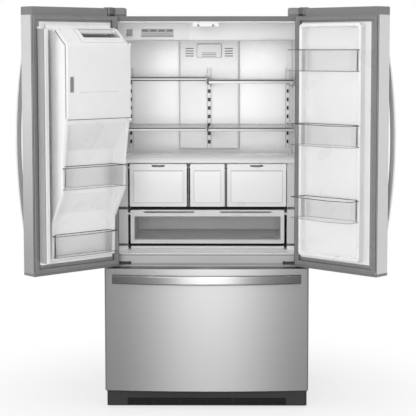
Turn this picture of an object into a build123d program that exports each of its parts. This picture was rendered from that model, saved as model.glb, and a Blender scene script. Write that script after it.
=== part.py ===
from build123d import *
import os
from math import sqrt

# French door refrigerator with in-door ice and a bottom freezer drawer, millimetres.
# X runs to the right, Y to the back, Z up from the floor. Depths are measured back from the front flange.
# Doors are modelled closed, then swung on their hinge axes to the open rest pose.

# Overall sizes
WIDTH = 905.0
CABINET_TOP = 1744.0
CABINET_BOTTOM = 62.0
CABINET_DEPTH = 737.0
FRONT_Y = -167.0  # centres the plan of the opened part on the origin
SHEET = 1.5
LINER_WALL = 2.5
CLEAR = 0.3
PIN_CLEAR = 0.05

# Insulated walls round the two compartments and over the machine compartment
SIDE_WALL = 47.5
ROOF = 26.0
BACK_WALL = 117.0
MID_WALL = 58.0
FOOD_FLOOR = 690.0
LINER_RADIUS = 12.0
FREEZER_FLOOR = 105.0
FREEZER_BACK_WALL = 177.0
MACHINE_LENGTH = 222.0
MACHINE_WALL = 45.0
MACHINE_TOP = 300.0
STEP_LOW = 250.0
STEP_HIGH = 340.0
RAIL_DEPTH = 30.0

# Base
BASE_BOTTOM = 40.0
BASE_FRONT = 12.0
BASE_SHEET = 2.0
FOOT_INSET = 57.5
FOOT_DEPTH = 60.0
FOOT_R = 20.0
FOOT_H = 12.0
NUT_R = 12.0
NUT_H = 8.0
STUD_R = 7.0
ROLLER_R = 19.0
ROLLER_W = 20.0
ROLLER_INSET = 52.5
ROLLER_FROM_BACK = 47.0
AXLE_R = 4.0
EAR_T = 2.5
EAR_R = 12.0
GRILLE_INSET = 4.5
GRILLE_BOTTOM = 6.0
GRILLE_TOP = 76.0
GRILLE_FORWARD = 38.0
GRILLE_WALL = 3.0
GRILLE_MARGIN = 93.0
GRILLE_RECESS = (7.0, 37.0)

# Doors and drawer front
DOOR_OPEN = 137.5
HINGE_INSET = 25.5
HINGE_FORWARD = 45.0
DOOR_OVER_RAIL = 8.0
DOOR_RISE = 33.0
DOOR_BACK = 12.0
DOOR_SIDE = 75.0
CROWN = 24.0
CENTRE_GAP = 3.0
DOOR_PLATE = 3.0
PLATE_INSET = 6.0
CAP_H = 12.0
PANEL_DROP = 2.0
CAP_START = 34.0
EDGE_R = 8.0
WRAP_LIP = 12.0
HINGE_PIN_R = 6.0
HINGE_PIN_L = 28.0
HINGE_PLATE = 4.0
HINGE_ARM_R = 17.0
STRAP_L = 81.0
STRAP_LIFT = 12.5
STRAP_T = 4.0
GASKET_W = 14.0
GASKET_EDGE = 2.0
GASKET_LIFT = 18.0
GASKET_DROP = 6.0
DRAWER_BOTTOM = 85.0
DRAWER_GAP = 7.0

# Door liners and bins
DYKE_GAP = 5.0
DYKE_IN = 65.0
DYKE_LIFT = 9.0
DYKE_DROP = 10.0
DYKE_WALL = 14.0
DYKE_R = 18.0
RIGHT_DYKE_DEPTH = 24.0
BIN_WALL = 2.5
BIN_BACK = -5.7
BIN_H = 94.0
BIN_FRONT = 105.0
BIN_CROWN_X = 169.0
BIN_SET_BACK = 26.0
RIGHT_BIN_DROP = 204.0
RIGHT_BIN_LIFTS = (487.0, 170.0)
LEFT_BIN_LIFTS = (312.0, 19.0)
LEFT_BIN_FRONTS = ((104.5, 112.0, 116.0), (27.0, 48.0, 60.0))  # waist, ends, crown
UPPER_BACK = 30.0
HOOD_GAP = 67.0
APRON = (26.0, 111.0)  # drops from the upper bin to the ends of the slope below it
LINER_EDGE_R = 6.0

# Ice compartment in the left door
ICE_H = 309.0
ICE_DROP = 94.0
ICE_FRONT = 133.0
ICE_SLOPE_END = 60.0
ICE_SLOPE_RISE = 61.0
ICE_DOOR_T = 12.0
ICE_CORNER_R = 16.0
ICE_PIN_R = 2.5
ICE_SWING = 3.0  # room beside the hinge wall for the bent panel to turn
CHUTE_INSET = 35.0
CHUTE_W = 195.0
CHUTE_DEPTH = (72.0, 120.0)
BEZEL_W = 14.0
BEZEL_H = 5.0
LATCH_W = 14.0
LATCH_H = 64.0
LATCH_T = 7.0
LATCH_TRAVEL = 5.0
LATCH_INSET = 23.0
LATCH_LIFT = 148.0

# Hinged mullion bar
MULLION_X = -28.0
MULLION_W = 55.0
MULLION_T = 18.0
MULLION_LIFT = 12.0
MULLION_DROP = 35.0
MULLION_PIN_R = 3.0
MULLION_PIN_L = 8.0
LUG_H = 9.5

# Handles
HANDLE_LIFT = 175.0
HANDLE_DROP = 152.0
HANDLE_INSET = 9.0
HANDLE_W = 22.0
HANDLE_T = 14.0
HANDLE_REACH = 60.0
HANDLE_FOOT = 24.0
BAR_W = 836.0
BAR_H = 39.0
BAR_DROP = 27.0
BAR_REACH = 34.0
BAR_END_REACH = 13.0
BAR_T = 13.0

# Fresh-food fittings
CEILING_H = 78.0
CEILING_FRONT = 150.0
FITTING_GAP = 60.0
ICE_MAKER_W = 322.0
VENT_INSET = 105.0
VENT_W = 148.0
PORT_INSET = 53.0
OUTLET_INSET = 15.0
OUTLET_W = 180.0
OUTLET_SETBACK = 40.0
OUTLET_L = 110.0
LENS_INSET = 105.0
LENS_W = 210.0
LENS_DEPTH = (200.0, 290.0)
TOWER_W = 296.0
TOWER_T = 24.0
FILTER_HALF = 60.0
FILTER_H = 68.0
FILTER_DROP = 92.0
LADDER_W = 20.0
LADDER_T = 7.0
LADDER_LIFT = 22.0
LADDER_DROP = 208.0
LADDER_PITCH = 41.0
SHELF_FRONT = 155.0
SHELF_SIDE = 13.0
SHELF_IN = 6.0
GLASS_T = 4.0
SHELF_TRIM_H = 17.0
SHELF_TRIM_D = 12.0
ARM_T = 4.0
ARM_DROP = 36.0
SHELF_DROPS = (38.0, 50.0)
SHELF_LIFT = 123.0

# Drawers inside the fresh-food compartment
CRISPER_FRONT = 124.0
CRISPER_H = 195.0
CRISPER_GAP = 16.0
CRISPER_SIDES = (9.0, 4.0)
DIVIDERS = ((-86.0, 8.0), (84.0, 6.0))  # place across X, half of the gap that it leaves between the fronts
DIVIDER_T = 8.0
LEDGE_W = 8.0
RAIL_LEDGE_W = 12.0
LEDGE_T = 6.0
RIM_T = 4.0
RIM_DROP = 13.0
RIM_GAP = 0.5
TUB_WALL = 2.5
TUB_R = 10.0
TUB_DRAFT = 2.0
FRONT_T = 6.0
COVER_H = 15.0
COVER_GAP = 2.0
PANE_INSET = 22.0
PANE_SEAT = 10.0
RAIL_W = 39.0
RAIL_WALL = 4.0
RAILS_FRONT = 134.0
PANTRY_LIFT = 27.0
PANTRY_H = 153.0
PANTRY_SIDE = 12.0
GRIP_W = 230.0
GRIP_H = 9.0
SLIDER_W = 26.0
SLIDER_H = 8.0
SLIDER_SLOT_W = 58.0
SLIDER_DROP = 10.0

# Freezer fittings
SLIDE_H = 35.0
SLIDE_DROP = 202.0
SLIDE_OUTER_T = 14.0
SLIDE_INNER_T = 12.0
SLIDE_FRONT = 30.0
SLIDE_GAP = 12.0
BASKET_SIDE = 53.0
BASKET_LIFT = 13.0
BASKET_FRONT = 25.0
BASKET_GAP = 30.0
TRAY_DROP = 72.0
DUCT_GAP = 48.0

# Dispenser on the left door's outer face
NICHE_W = 220.0
NICHE_H = 340.0
NICHE_LIFT = 360.0
NICHE_DEPTH = 66.0
NICHE_WALL = 3.0
PADDLE_PIN_R = 2.5

# Sizes that follow from those above
HALF = WIDTH / 2
OPENING_HALF = HALF - SIDE_WALL
FOOD_TOP = CABINET_TOP - ROOF
FOOD_DEPTH = CABINET_DEPTH - BACK_WALL
FREEZER_TOP = FOOD_FLOOR - MID_WALL
FREEZER_DEPTH = CABINET_DEPTH - FREEZER_BACK_WALL
MACHINE_FRONT = CABINET_DEPTH - MACHINE_LENGTH
FREEZER_LOW_DEPTH = MACHINE_FRONT - MACHINE_WALL
FOOT_X = HALF - FOOT_INSET
ROLLER_X = HALF - ROLLER_INSET
ROLLER_DEPTH = CABINET_DEPTH - ROLLER_FROM_BACK
HINGE_X = HALF - HINGE_INSET
CROWN_R = (HALF**2 + CROWN**2) / (2 * CROWN)
CROWN_CENTRE = FRONT_Y - DOOR_SIDE - CROWN + CROWN_R
RAIL_BOTTOM = FREEZER_TOP + LINER_WALL
RAIL_TOP = FOOD_FLOOR - LINER_WALL
DOOR_BOTTOM = FREEZER_TOP + DOOR_OVER_RAIL
DOOR_TOP = CABINET_TOP + DOOR_RISE
PANEL_TOP = CABINET_TOP - PANEL_DROP
DRAWER_TOP = DOOR_BOTTOM - DRAWER_GAP
GASKET_BOTTOM = DOOR_BOTTOM + GASKET_LIFT
GASKET_TOP = CABINET_TOP - GASKET_DROP
DYKE_OUT = OPENING_HALF - DYKE_GAP
DYKE_BOTTOM = FOOD_FLOOR + DYKE_LIFT
DYKE_TOP = FOOD_TOP - DYKE_DROP
MULLION_BOTTOM = FOOD_FLOOR + MULLION_LIFT
MULLION_TOP = FOOD_TOP - MULLION_DROP
HANDLE_BOTTOM = DOOR_BOTTOM + HANDLE_LIFT
HANDLE_TOP = PANEL_TOP - HANDLE_DROP
BAR_TOP = DRAWER_TOP - BAR_DROP
BAR_BOTTOM = BAR_TOP - BAR_H
CEILING_BOTTOM = FOOD_TOP - CEILING_H
CEILING_BACK = FOOD_DEPTH - FITTING_GAP
RAILS_BACK = FOOD_DEPTH - FITTING_GAP
CRISPER_BACK = RAILS_BACK - 10.0
PANTRY_BOTTOM = FOOD_FLOOR + PANTRY_LIFT
PANTRY_TOP = PANTRY_BOTTOM + PANTRY_H
CRISPER_BOTTOM = PANTRY_TOP + CRISPER_GAP
CRISPER_TOP = CRISPER_BOTTOM + CRISPER_H
LEDGE_Z = CRISPER_TOP - RIM_DROP - RIM_T - CLEAR
PANTRY_LEDGE_Z = PANTRY_TOP - RIM_DROP - RIM_T - CLEAR
COVER_BOTTOM = CRISPER_TOP + COVER_GAP
COVER_TOP_Z = COVER_BOTTOM + COVER_H
RAIL_IN = OPENING_HALF - RAIL_W
RAIL_FACE = RAIL_IN - RAIL_WALL
LADDER_BOTTOM = COVER_TOP_Z + LADDER_LIFT
LADDER_TOP = FOOD_TOP - LADDER_DROP
SHELF_OUT = OPENING_HALF - SHELF_SIDE
SHELF_TOPS = (
    (-1, LADDER_TOP - SHELF_DROPS[0]),
    (1, LADDER_TOP - SHELF_DROPS[1]),
    (-1, LADDER_BOTTOM + SHELF_LIFT),
    (1, LADDER_BOTTOM + SHELF_LIFT),
)
DUCT_DEPTH = FREEZER_DEPTH - DUCT_GAP
SLIDE_BACK = DUCT_DEPTH - SLIDE_GAP
SLIDE_Z = (FREEZER_TOP - SLIDE_DROP - SLIDE_H, FREEZER_TOP - SLIDE_DROP)
NICHE_X = -(HALF + CENTRE_GAP / 2) / 2
NICHE_BOTTOM = DOOR_BOTTOM + NICHE_LIFT
NICHE_TOP = NICHE_BOTTOM + NICHE_H

# Side profile of the left door's liner, from the lower bin out to the ice compartment and up its sloping top
ICE_TOP = DYKE_TOP - ICE_DROP
ICE_BOTTOM = ICE_TOP - ICE_H
UPPER_BIN = DYKE_BOTTOM + LEFT_BIN_LIFTS[0]
LEFT_PROFILE = (
    (-DOOR_BACK, DYKE_BOTTOM),
    (20.0, DYKE_BOTTOM + 7),
    (25.0, UPPER_BIN - 143),
    (100.0, UPPER_BIN - 11),
    (104.0, UPPER_BIN + BIN_H + 20),
    (ICE_FRONT, ICE_BOTTOM),
    (ICE_FRONT, ICE_TOP),
    (ICE_SLOPE_END, ICE_TOP + ICE_SLOPE_RISE),
    (0.0, ICE_TOP + ICE_SLOPE_RISE + 12),
    (-DOOR_BACK, DYKE_TOP),
)


def behind(depth):
    """World Y of a depth behind the front flange."""
    return FRONT_Y + depth


def front_plane(depth):
    """Upright plane at a depth, facing the viewer: a negative extrusion runs to the back."""
    return Plane.XZ.offset(-behind(depth))


def crown_y(x):
    """Y of the one shallow arc that the doors and the drawer share across their outer faces."""
    return CROWN_CENTRE - sqrt(CROWN_R**2 - x**2)


def span_box(x, depth, z, mode=Mode.ADD):
    """A box between two limits along each axis."""
    with Locations((sum(x) / 2, behind(sum(depth) / 2), sum(z) / 2)):
        return Box(abs(x[1] - x[0]), depth[1] - depth[0], z[1] - z[0], mode=mode)


def crowned_plan(start, end, back):
    """Plan of a door or drawer front from start to end across X, with the shared crown in front."""
    middle = (start + end) / 2
    with BuildLine(mode=Mode.PRIVATE) as outline:
        face = ThreePointArc((start, crown_y(start)), (middle, crown_y(middle)), (end, crown_y(end)))
        Polyline(face @ 1, (end, behind(back)), (start, behind(back)), face @ 0)
    make_face(outline.edges())


def freezer_profile(grow):
    """Side profile of the freezer space, stepped over the machine compartment."""
    return [
        (behind(0), FREEZER_FLOOR - grow),
        (behind(FREEZER_LOW_DEPTH + grow), FREEZER_FLOOR - grow),
        (behind(FREEZER_LOW_DEPTH + grow), STEP_LOW - grow / 2),
        (behind(FREEZER_DEPTH + grow), STEP_HIGH - grow / 2),
        (behind(FREEZER_DEPTH + grow), FREEZER_TOP + grow),
        (behind(0), FREEZER_TOP + grow),
    ]


def save(part, name):
    """Labels a finished piece and writes it."""
    part.label = name
    export_step(part, f"parts/{name}.step")


def save_on_door(part, side, name):
    """Swings a piece of the closed door to the open rest pose and writes it: side is -1 left, 1 right."""
    axis = Axis((side * HINGE_X, behind(-HINGE_FORWARD), 0), (0, 0, 1))
    save(part.rotate(axis, side * DOOR_OPEN), name)


os.makedirs("parts", exist_ok=True)

# Cabinet wrapper: folded sides and top, with the front flange that the gaskets close on
with BuildPart() as cabinet_shell:
    cabinet_middle = (CABINET_TOP + CABINET_BOTTOM) / 2
    cabinet_height = CABINET_TOP - CABINET_BOTTOM
    with BuildSketch(front_plane(0)):
        with Locations((0, cabinet_middle)):
            Rectangle(WIDTH, cabinet_height)
        with Locations((0, cabinet_middle - SHEET)):
            Rectangle(WIDTH - 2 * SHEET, cabinet_height, mode=Mode.SUBTRACT)
    extrude(amount=-CABINET_DEPTH)
    with BuildSketch(front_plane(0)):
        with Locations((0, cabinet_middle)):
            Rectangle(WIDTH, cabinet_height)
        mouth_bottom = FREEZER_FLOOR - LINER_WALL
        mouth_top = FOOD_TOP + LINER_WALL
        with Locations((0, (mouth_bottom + mouth_top) / 2)):
            Rectangle(2 * (OPENING_HALF + LINER_WALL), mouth_top - mouth_bottom, mode=Mode.SUBTRACT)
    extrude(amount=-SHEET)
    fillet(cabinet_shell.edges().filter_by(Axis.Y).group_by(Axis.Z)[-1], 0.8 * SHEET)
save(cabinet_shell.part, "cabinet_shell")

# Rear sheet with two pressed stiffening beads
with BuildPart() as rear_panel:
    rear_bottom = MACHINE_TOP
    rear_top = CABINET_TOP - SHEET
    span_box((-HALF + SHEET, HALF - SHEET), (CABINET_DEPTH - SHEET, CABINET_DEPTH), (rear_bottom, rear_top))
    with BuildSketch(front_plane(CABINET_DEPTH)):
        with Locations((0, (rear_bottom + rear_top) / 2)):
            with GridLocations(WIDTH / 2, 1, 2, 1):
                SlotOverall(0.8 * (rear_top - rear_bottom), 60, rotation=90)
    extrude(amount=-2 * SHEET)
save(rear_panel.part, "rear_panel")

# Foam between the wrapper and the liners, stepped over the machine compartment
with BuildPart() as foam_insulation:
    with BuildSketch(Plane.YZ):
        Polygon(
            (behind(SHEET), CABINET_BOTTOM),
            (behind(MACHINE_FRONT), CABINET_BOTTOM),
            (behind(MACHINE_FRONT), STEP_LOW - 20),
            (behind(MACHINE_FRONT) + MACHINE_TOP - STEP_LOW + 20, MACHINE_TOP),
            (behind(CABINET_DEPTH - SHEET), MACHINE_TOP),
            (behind(CABINET_DEPTH - SHEET), CABINET_TOP - SHEET),
            (behind(SHEET), CABINET_TOP - SHEET),
            align=None,
        )
    extrude(amount=HALF - SHEET, both=True)
    liner_half = OPENING_HALF + LINER_WALL
    span_box(
        (-liner_half, liner_half),
        (0, FOOD_DEPTH + LINER_WALL),
        (FOOD_FLOOR - LINER_WALL, FOOD_TOP + LINER_WALL),
        Mode.SUBTRACT,
    )
    with BuildSketch(Plane.YZ):
        Polygon(*freezer_profile(LINER_WALL), align=None)
    extrude(amount=liner_half, both=True, mode=Mode.SUBTRACT)
    span_box((-liner_half, liner_half), (0, RAIL_DEPTH), (RAIL_BOTTOM, RAIL_TOP), Mode.SUBTRACT)
save(foam_insulation.part, "foam_insulation")

# Fresh-food liner, rounded where the walls meet the back
with BuildPart() as fresh_food_liner:
    span_box(
        (-liner_half, liner_half),
        (0, FOOD_DEPTH + LINER_WALL),
        (FOOD_FLOOR - LINER_WALL, FOOD_TOP + LINER_WALL),
    )
    span_box((-OPENING_HALF, OPENING_HALF), (0, FOOD_DEPTH), (FOOD_FLOOR, FOOD_TOP), Mode.SUBTRACT)
    back_face = fresh_food_liner.faces().filter_by(Axis.Y).sort_by(Axis.Y)[-2]
    fillet(back_face.edges(), LINER_RADIUS)
save(fresh_food_liner.part, "fresh_food_liner")

# Freezer liner, stepped at the back
with BuildPart() as freezer_liner:
    with BuildSketch(Plane.YZ):
        Polygon(*freezer_profile(LINER_WALL), align=None)
    extrude(amount=liner_half, both=True)
    with BuildSketch(Plane.YZ):
        Polygon(*freezer_profile(0), align=None)
    extrude(amount=OPENING_HALF, both=True, mode=Mode.SUBTRACT)
save(freezer_liner.part, "freezer_liner")

# Folded rail between the two compartments
with BuildPart() as centre_rail:
    span_box((-liner_half, liner_half), (0, RAIL_DEPTH), (RAIL_BOTTOM, RAIL_TOP))
    span_box(
        (-liner_half, liner_half),
        (SHEET, RAIL_DEPTH),
        (RAIL_BOTTOM + SHEET, RAIL_TOP - SHEET),
        Mode.SUBTRACT,
    )
save(centre_rail.part, "centre_rail")

# Base tray with the ears that carry the rear rollers
with BuildPart() as base_frame:
    tray_half = HALF - 2 * SHEET
    tray_back = CABINET_DEPTH - BASE_SHEET
    span_box((-tray_half, tray_half), (BASE_FRONT, tray_back), (BASE_BOTTOM, CABINET_BOTTOM))
    span_box(
        (-tray_half + BASE_SHEET, tray_half - BASE_SHEET),
        (BASE_FRONT + BASE_SHEET, tray_back - BASE_SHEET),
        (BASE_BOTTOM + BASE_SHEET, CABINET_BOTTOM),
        Mode.SUBTRACT,
    )
    for side in (-1, 1):
        for face in (-1, 1):
            ear_x = side * ROLLER_X + face * (ROLLER_W / 2 + CLEAR + EAR_T / 2)
            with BuildSketch(Plane.YZ.offset(ear_x - EAR_T / 2)):
                with Locations((behind(ROLLER_DEPTH), ROLLER_R - EAR_R)):
                    Rectangle(2 * EAR_R, BASE_BOTTOM - ROLLER_R + EAR_R, align=(Align.CENTER, Align.MIN))
                with Locations((behind(ROLLER_DEPTH), ROLLER_R)):
                    Circle(AXLE_R + PIN_CLEAR, mode=Mode.SUBTRACT)
            extrude(amount=EAR_T)
save(base_frame.part, "base_frame")

# Rear rollers, each one with its axle
with BuildPart() as rear_rollers:
    for side in (-1, 1):
        with BuildSketch(Plane.YZ.offset(side * ROLLER_X)):
            with Locations((behind(ROLLER_DEPTH), ROLLER_R)):
                Circle(ROLLER_R)
        extrude(amount=ROLLER_W / 2, both=True)
    for side in (-1, 1):
        with BuildSketch(Plane.YZ.offset(side * ROLLER_X)):
            with Locations((behind(ROLLER_DEPTH), ROLLER_R)):
                Circle(AXLE_R)
        extrude(amount=ROLLER_W / 2 + CLEAR + EAR_T + 1, both=True)
save(rear_rollers.part, "rear_rollers")

# Levelling legs: a foot, a hexagon to turn it and a stud up to the base
with BuildPart() as levelling_legs:
    for side in (-1, 1):
        with Locations((side * FOOT_X, behind(FOOT_DEPTH), 0)):
            Cylinder(FOOT_R, FOOT_H, align=(Align.CENTER, Align.CENTER, Align.MIN))
            Cylinder(STUD_R, BASE_BOTTOM, align=(Align.CENTER, Align.CENTER, Align.MIN))
    with BuildSketch(Plane.XY.offset(FOOT_H)):
        with Locations((-FOOT_X, behind(FOOT_DEPTH)), (FOOT_X, behind(FOOT_DEPTH))):
            RegularPolygon(NUT_R, 6)
    extrude(amount=NUT_H)
save(levelling_legs.part, "levelling_legs")

# Base grille: an open-backed moulding with a recessed, louvred slot
with BuildPart() as base_grille:
    half_grille = HALF - GRILLE_INSET
    span_box((-half_grille, half_grille), (-GRILLE_FORWARD, 0), (GRILLE_BOTTOM, GRILLE_TOP))
    fillet(base_grille.edges().filter_by(Axis.Z).group_by(Axis.Y)[0], 12)
    span_box(
        (-half_grille + GRILLE_WALL, half_grille - GRILLE_WALL),
        (-GRILLE_FORWARD + 2 * GRILLE_WALL, 0),
        (GRILLE_BOTTOM + GRILLE_WALL, GRILLE_TOP - GRILLE_WALL),
        Mode.SUBTRACT,
    )
    slot_half = half_grille - GRILLE_MARGIN
    span_box(
        (-slot_half, slot_half),
        (-GRILLE_FORWARD, -GRILLE_FORWARD + GRILLE_WALL),
        (GRILLE_BOTTOM + GRILLE_RECESS[0], GRILLE_BOTTOM + GRILLE_RECESS[1]),
        Mode.SUBTRACT,
    )
    with BuildSketch(front_plane(-GRILLE_FORWARD)):
        with Locations((0, GRILLE_BOTTOM + sum(GRILLE_RECESS) / 2)):
            with GridLocations(slot_half / 3, 9, 6, 3):
                Rectangle(slot_half / 3 - 8, 5)
    extrude(amount=-3 * GRILLE_WALL, mode=Mode.SUBTRACT)
save(base_grille.part, "base_grille")

# Vented sheet over the machine compartment
with BuildPart() as machine_cover:
    cover_back = CABINET_DEPTH
    span_box((-tray_half, tray_half), (tray_back, cover_back), (BASE_BOTTOM + 4, MACHINE_TOP - 1))
    with BuildSketch(front_plane(tray_back)):
        with Locations((0, MACHINE_TOP - 110)):
            with GridLocations(tray_half / 3.5, 28, 6, 3):
                Rectangle(tray_half / 3.5 - 24, 9)
    extrude(amount=-10, mode=Mode.SUBTRACT)
save(machine_cover.part, "machine_cover")

# Sealed system: compressor pot on its plate, condenser and evaporator with flat tubes through their fins
MACHINE_MIDDLE = (MACHINE_FRONT + tray_back) / 2
MACHINE_FLOOR = BASE_BOTTOM + BASE_SHEET
PLATE = (180.0, 160.0, 8.0)
POT_X = -200.0
POT_R = 78.0
POT_H = 158.0
COIL_X = 238.0
COIL_W = 40.0
FIN_T = 2.0
COIL_H = 170.0
COIL_L = 162.0
TUBE_T = 6.0
FROST_COIL_H = 190.0
FROST_COIL_L = 480.0
with BuildPart() as sealed_system:
    with Locations((POT_X, behind(MACHINE_MIDDLE), MACHINE_FLOOR)):
        Box(*PLATE, align=(Align.CENTER, Align.CENTER, Align.MIN))
        Cylinder(POT_R, POT_H, align=(Align.CENTER, Align.CENTER, Align.MIN))
    chamfer(sealed_system.edges().group_by(Axis.Z)[-1], POT_R / 3)
    with Locations((COIL_X, behind(MACHINE_MIDDLE), MACHINE_FLOOR + COIL_H / 2)):
        with GridLocations(1, (COIL_L - FIN_T) / 4, 1, 5):
            Box(COIL_W, FIN_T, COIL_H)
        for height in (-COIL_H / 3, 0, COIL_H / 3):
            with Locations((0, 0, height)):
                Box(COIL_W / 2, COIL_L, TUBE_T)
    with Locations((0, behind(FREEZER_DEPTH - COIL_W / 2), (STEP_HIGH + FREEZER_TOP) / 2)):
        with GridLocations((FROST_COIL_L - FIN_T) / 4, 1, 5, 1):
            Box(FIN_T, COIL_W, FROST_COIL_H)
        for height in (-FROST_COIL_H / 3, 0, FROST_COIL_H / 3):
            with Locations((0, 0, height)):
                Box(FROST_COIL_L, COIL_W / 2, TUBE_T)
save(sealed_system.part, "sealed_system")

# Condenser fan motor on its bracket
FAN_Z = MACHINE_FLOOR + 100
SHAFT_R = 4.0
with BuildPart() as fan_motor:
    span_box((70, 120), (MACHINE_MIDDLE - 30, MACHINE_MIDDLE + 30), (MACHINE_FLOOR, MACHINE_FLOOR + 3))
    span_box((92, 98), (MACHINE_MIDDLE - 15, MACHINE_MIDDLE + 15), (MACHINE_FLOOR, FAN_Z))
    with Locations((95, behind(MACHINE_MIDDLE), FAN_Z)):
        Cylinder(26, 50, rotation=(0, 90, 0))
    with Locations((145, behind(MACHINE_MIDDLE), FAN_Z)):
        Cylinder(SHAFT_R, 60, rotation=(0, 90, 0))
save(fan_motor.part, "fan_motor")

# Condenser fan: hub and five pitched blades on the motor's shaft
FAN_X = 149.0
fan_plane = Plane(origin=(FAN_X, behind(MACHINE_MIDDLE), FAN_Z), x_dir=(0, 1, 0), z_dir=(1, 0, 0))
with BuildPart(fan_plane) as condenser_fan:
    with PolarLocations(45, 5):
        Box(62, 30, 2.5, rotation=(35, 0, 0))
    Cylinder(17, 28)
    Cylinder(SHAFT_R + PIN_CLEAR, 40, mode=Mode.SUBTRACT)
save(condenser_fan.part, "condenser_fan")

# Freezer duct cover with its air slots
with BuildPart() as freezer_duct_cover:
    duct_half = OPENING_HALF - CLEAR
    span_box((-duct_half, duct_half), (DUCT_DEPTH, DUCT_DEPTH + 3), (STEP_HIGH + 20, FREEZER_TOP - CLEAR))
    with BuildSketch(front_plane(DUCT_DEPTH)):
        with Locations((0, FREEZER_TOP - 40)):
            with GridLocations(duct_half / 3.6, 14, 6, 2):
                Rectangle(duct_half / 3.6 - 22, 7)
    extrude(amount=-10, mode=Mode.SUBTRACT)
save(freezer_duct_cover.part, "freezer_duct_cover")

# Water inlet valve on the machine cover, with the nipple for the house line
INLET_INSET = 122.5
INLET_X = INLET_INSET - HALF
INLET_Z = MACHINE_TOP - 50.0
NIPPLE_R = 3.175
NIPPLE_L = 28.0
INLET_W = 44.0
INLET_T = 24.0
INLET_H = 36.0
COLLAR_R = 8.0
COLLAR_L = 12.0
with BuildPart() as water_inlet:
    span_box(
        (INLET_X - INLET_W / 2, INLET_X + INLET_W / 2),
        (CABINET_DEPTH, CABINET_DEPTH + INLET_T),
        (INLET_Z - INLET_H / 2, INLET_Z + INLET_H / 2),
    )
    chamfer(water_inlet.edges().filter_by(Axis.Y), INLET_H / 9)
    with Locations((INLET_X, behind(CABINET_DEPTH + INLET_T / 2), INLET_Z - INLET_H / 2)):
        Cylinder(COLLAR_R, COLLAR_L, align=(Align.CENTER, Align.CENTER, Align.MAX))
        Cylinder(NIPPLE_R, NIPPLE_L, align=(Align.CENTER, Align.CENTER, Align.MAX))
save(water_inlet.part, "water_inlet")

# Door hinges. On top a plate with an arm out to the pin; on the rail a strap, a shelf and the lower pin
STRAP_END = HINGE_X - STRAP_L
STRAP_Z = RAIL_BOTTOM + STRAP_LIFT
SHELF_Z = (DRAWER_TOP + CLEAR * 5, DRAWER_TOP + CLEAR * 5 + HINGE_PLATE)
TOP_PLATE_W = 70.0
TOP_PLATE_L = 90.0
TOP_PLATE_INSET = 20.0
TOP_PLATE_SETBACK = 10.0
with BuildPart() as door_hinges:
    for side in (-1, 1):
        with BuildSketch(Plane.XY.offset(CABINET_TOP)):
            with Locations((side * (HINGE_X - TOP_PLATE_INSET), behind(TOP_PLATE_SETBACK + TOP_PLATE_L / 2))):
                Rectangle(TOP_PLATE_W, TOP_PLATE_L)
            with Locations((side * HINGE_X, behind((TOP_PLATE_SETBACK - HINGE_FORWARD) / 2))):
                Rectangle(2 * HINGE_ARM_R, HINGE_FORWARD + TOP_PLATE_SETBACK)
            with Locations((side * HINGE_X, behind(-HINGE_FORWARD))):
                Circle(HINGE_ARM_R)
        extrude(amount=HINGE_PLATE)
        with Locations((side * HINGE_X, behind(-HINGE_FORWARD), CABINET_TOP + HINGE_PLATE)):
            Cylinder(HINGE_PIN_R, HINGE_PIN_L, align=(Align.CENTER, Align.CENTER, Align.MAX))
        with BuildSketch(front_plane(0)):
            with BuildLine():
                Polyline(
                    (side * STRAP_END, STRAP_Z - 6),
                    (side * HALF, STRAP_Z - 10.5),
                    (side * HALF, STRAP_Z + 8),
                    (side * STRAP_END, STRAP_Z + 6),
                    close=True,
                )
            make_face()
            with Locations((side * STRAP_END, STRAP_Z)):
                Circle(8)
        extrude(amount=STRAP_T)
        with BuildSketch(front_plane(-STRAP_T)):
            with Locations((side * STRAP_END, STRAP_Z)):
                Circle(6)
                RegularPolygon(3.5, 6, mode=Mode.SUBTRACT)
        extrude(amount=1.5)
        arm_span = (side * (HINGE_X - HINGE_ARM_R), side * (HINGE_X + HINGE_ARM_R))
        span_box(arm_span, (-HINGE_FORWARD, 0), SHELF_Z)
        with Locations((side * HINGE_X, behind(-HINGE_FORWARD), SHELF_Z[0])):
            Cylinder(HINGE_ARM_R, HINGE_PLATE, align=(Align.CENTER, Align.CENTER, Align.MIN))
            Cylinder(HINGE_PIN_R, HINGE_PIN_L, align=(Align.CENTER, Align.CENTER, Align.MIN))
save(door_hinges.part, "door_hinges")

# Hinge covers: hollow mouldings over the top hinges
COVER_RISE = 4.0
COVER_TOP = DOOR_TOP + COVER_RISE
COVER_WALL = 3.0
COVER_MARGIN = 5.0
COVER_W = TOP_PLATE_W + 4 * COVER_MARGIN
COVER_TAIL = 24.0
COVER_L = TOP_PLATE_SETBACK + TOP_PLATE_L + COVER_TAIL
with BuildPart() as hinge_covers:
    for side in (-1, 1):
        inner_top = COVER_TOP - COVER_WALL
        for grow, top, mode in ((0, COVER_TOP, Mode.ADD), (-COVER_WALL, inner_top, Mode.SUBTRACT)):
            with BuildSketch(Plane.XY.offset(CABINET_TOP)):
                with Locations((side * (HINGE_X - TOP_PLATE_INSET), behind(COVER_L / 2))):
                    Rectangle(COVER_W + 2 * grow, COVER_L + 2 * grow)
                with Locations((side * HINGE_X, behind((TOP_PLATE_SETBACK - HINGE_FORWARD) / 2))):
                    Rectangle(2 * (HINGE_ARM_R + COVER_MARGIN + grow), HINGE_FORWARD + TOP_PLATE_SETBACK)
                with Locations((side * HINGE_X, behind(-HINGE_FORWARD))):
                    Circle(HINGE_ARM_R + COVER_MARGIN + grow)
            extrude(amount=top - CABINET_TOP, mode=mode)
    chamfer(hinge_covers.edges().group_by(Axis.Z)[-1], COVER_WALL * 2 / 3)
save(hinge_covers.part, "hinge_covers")

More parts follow.
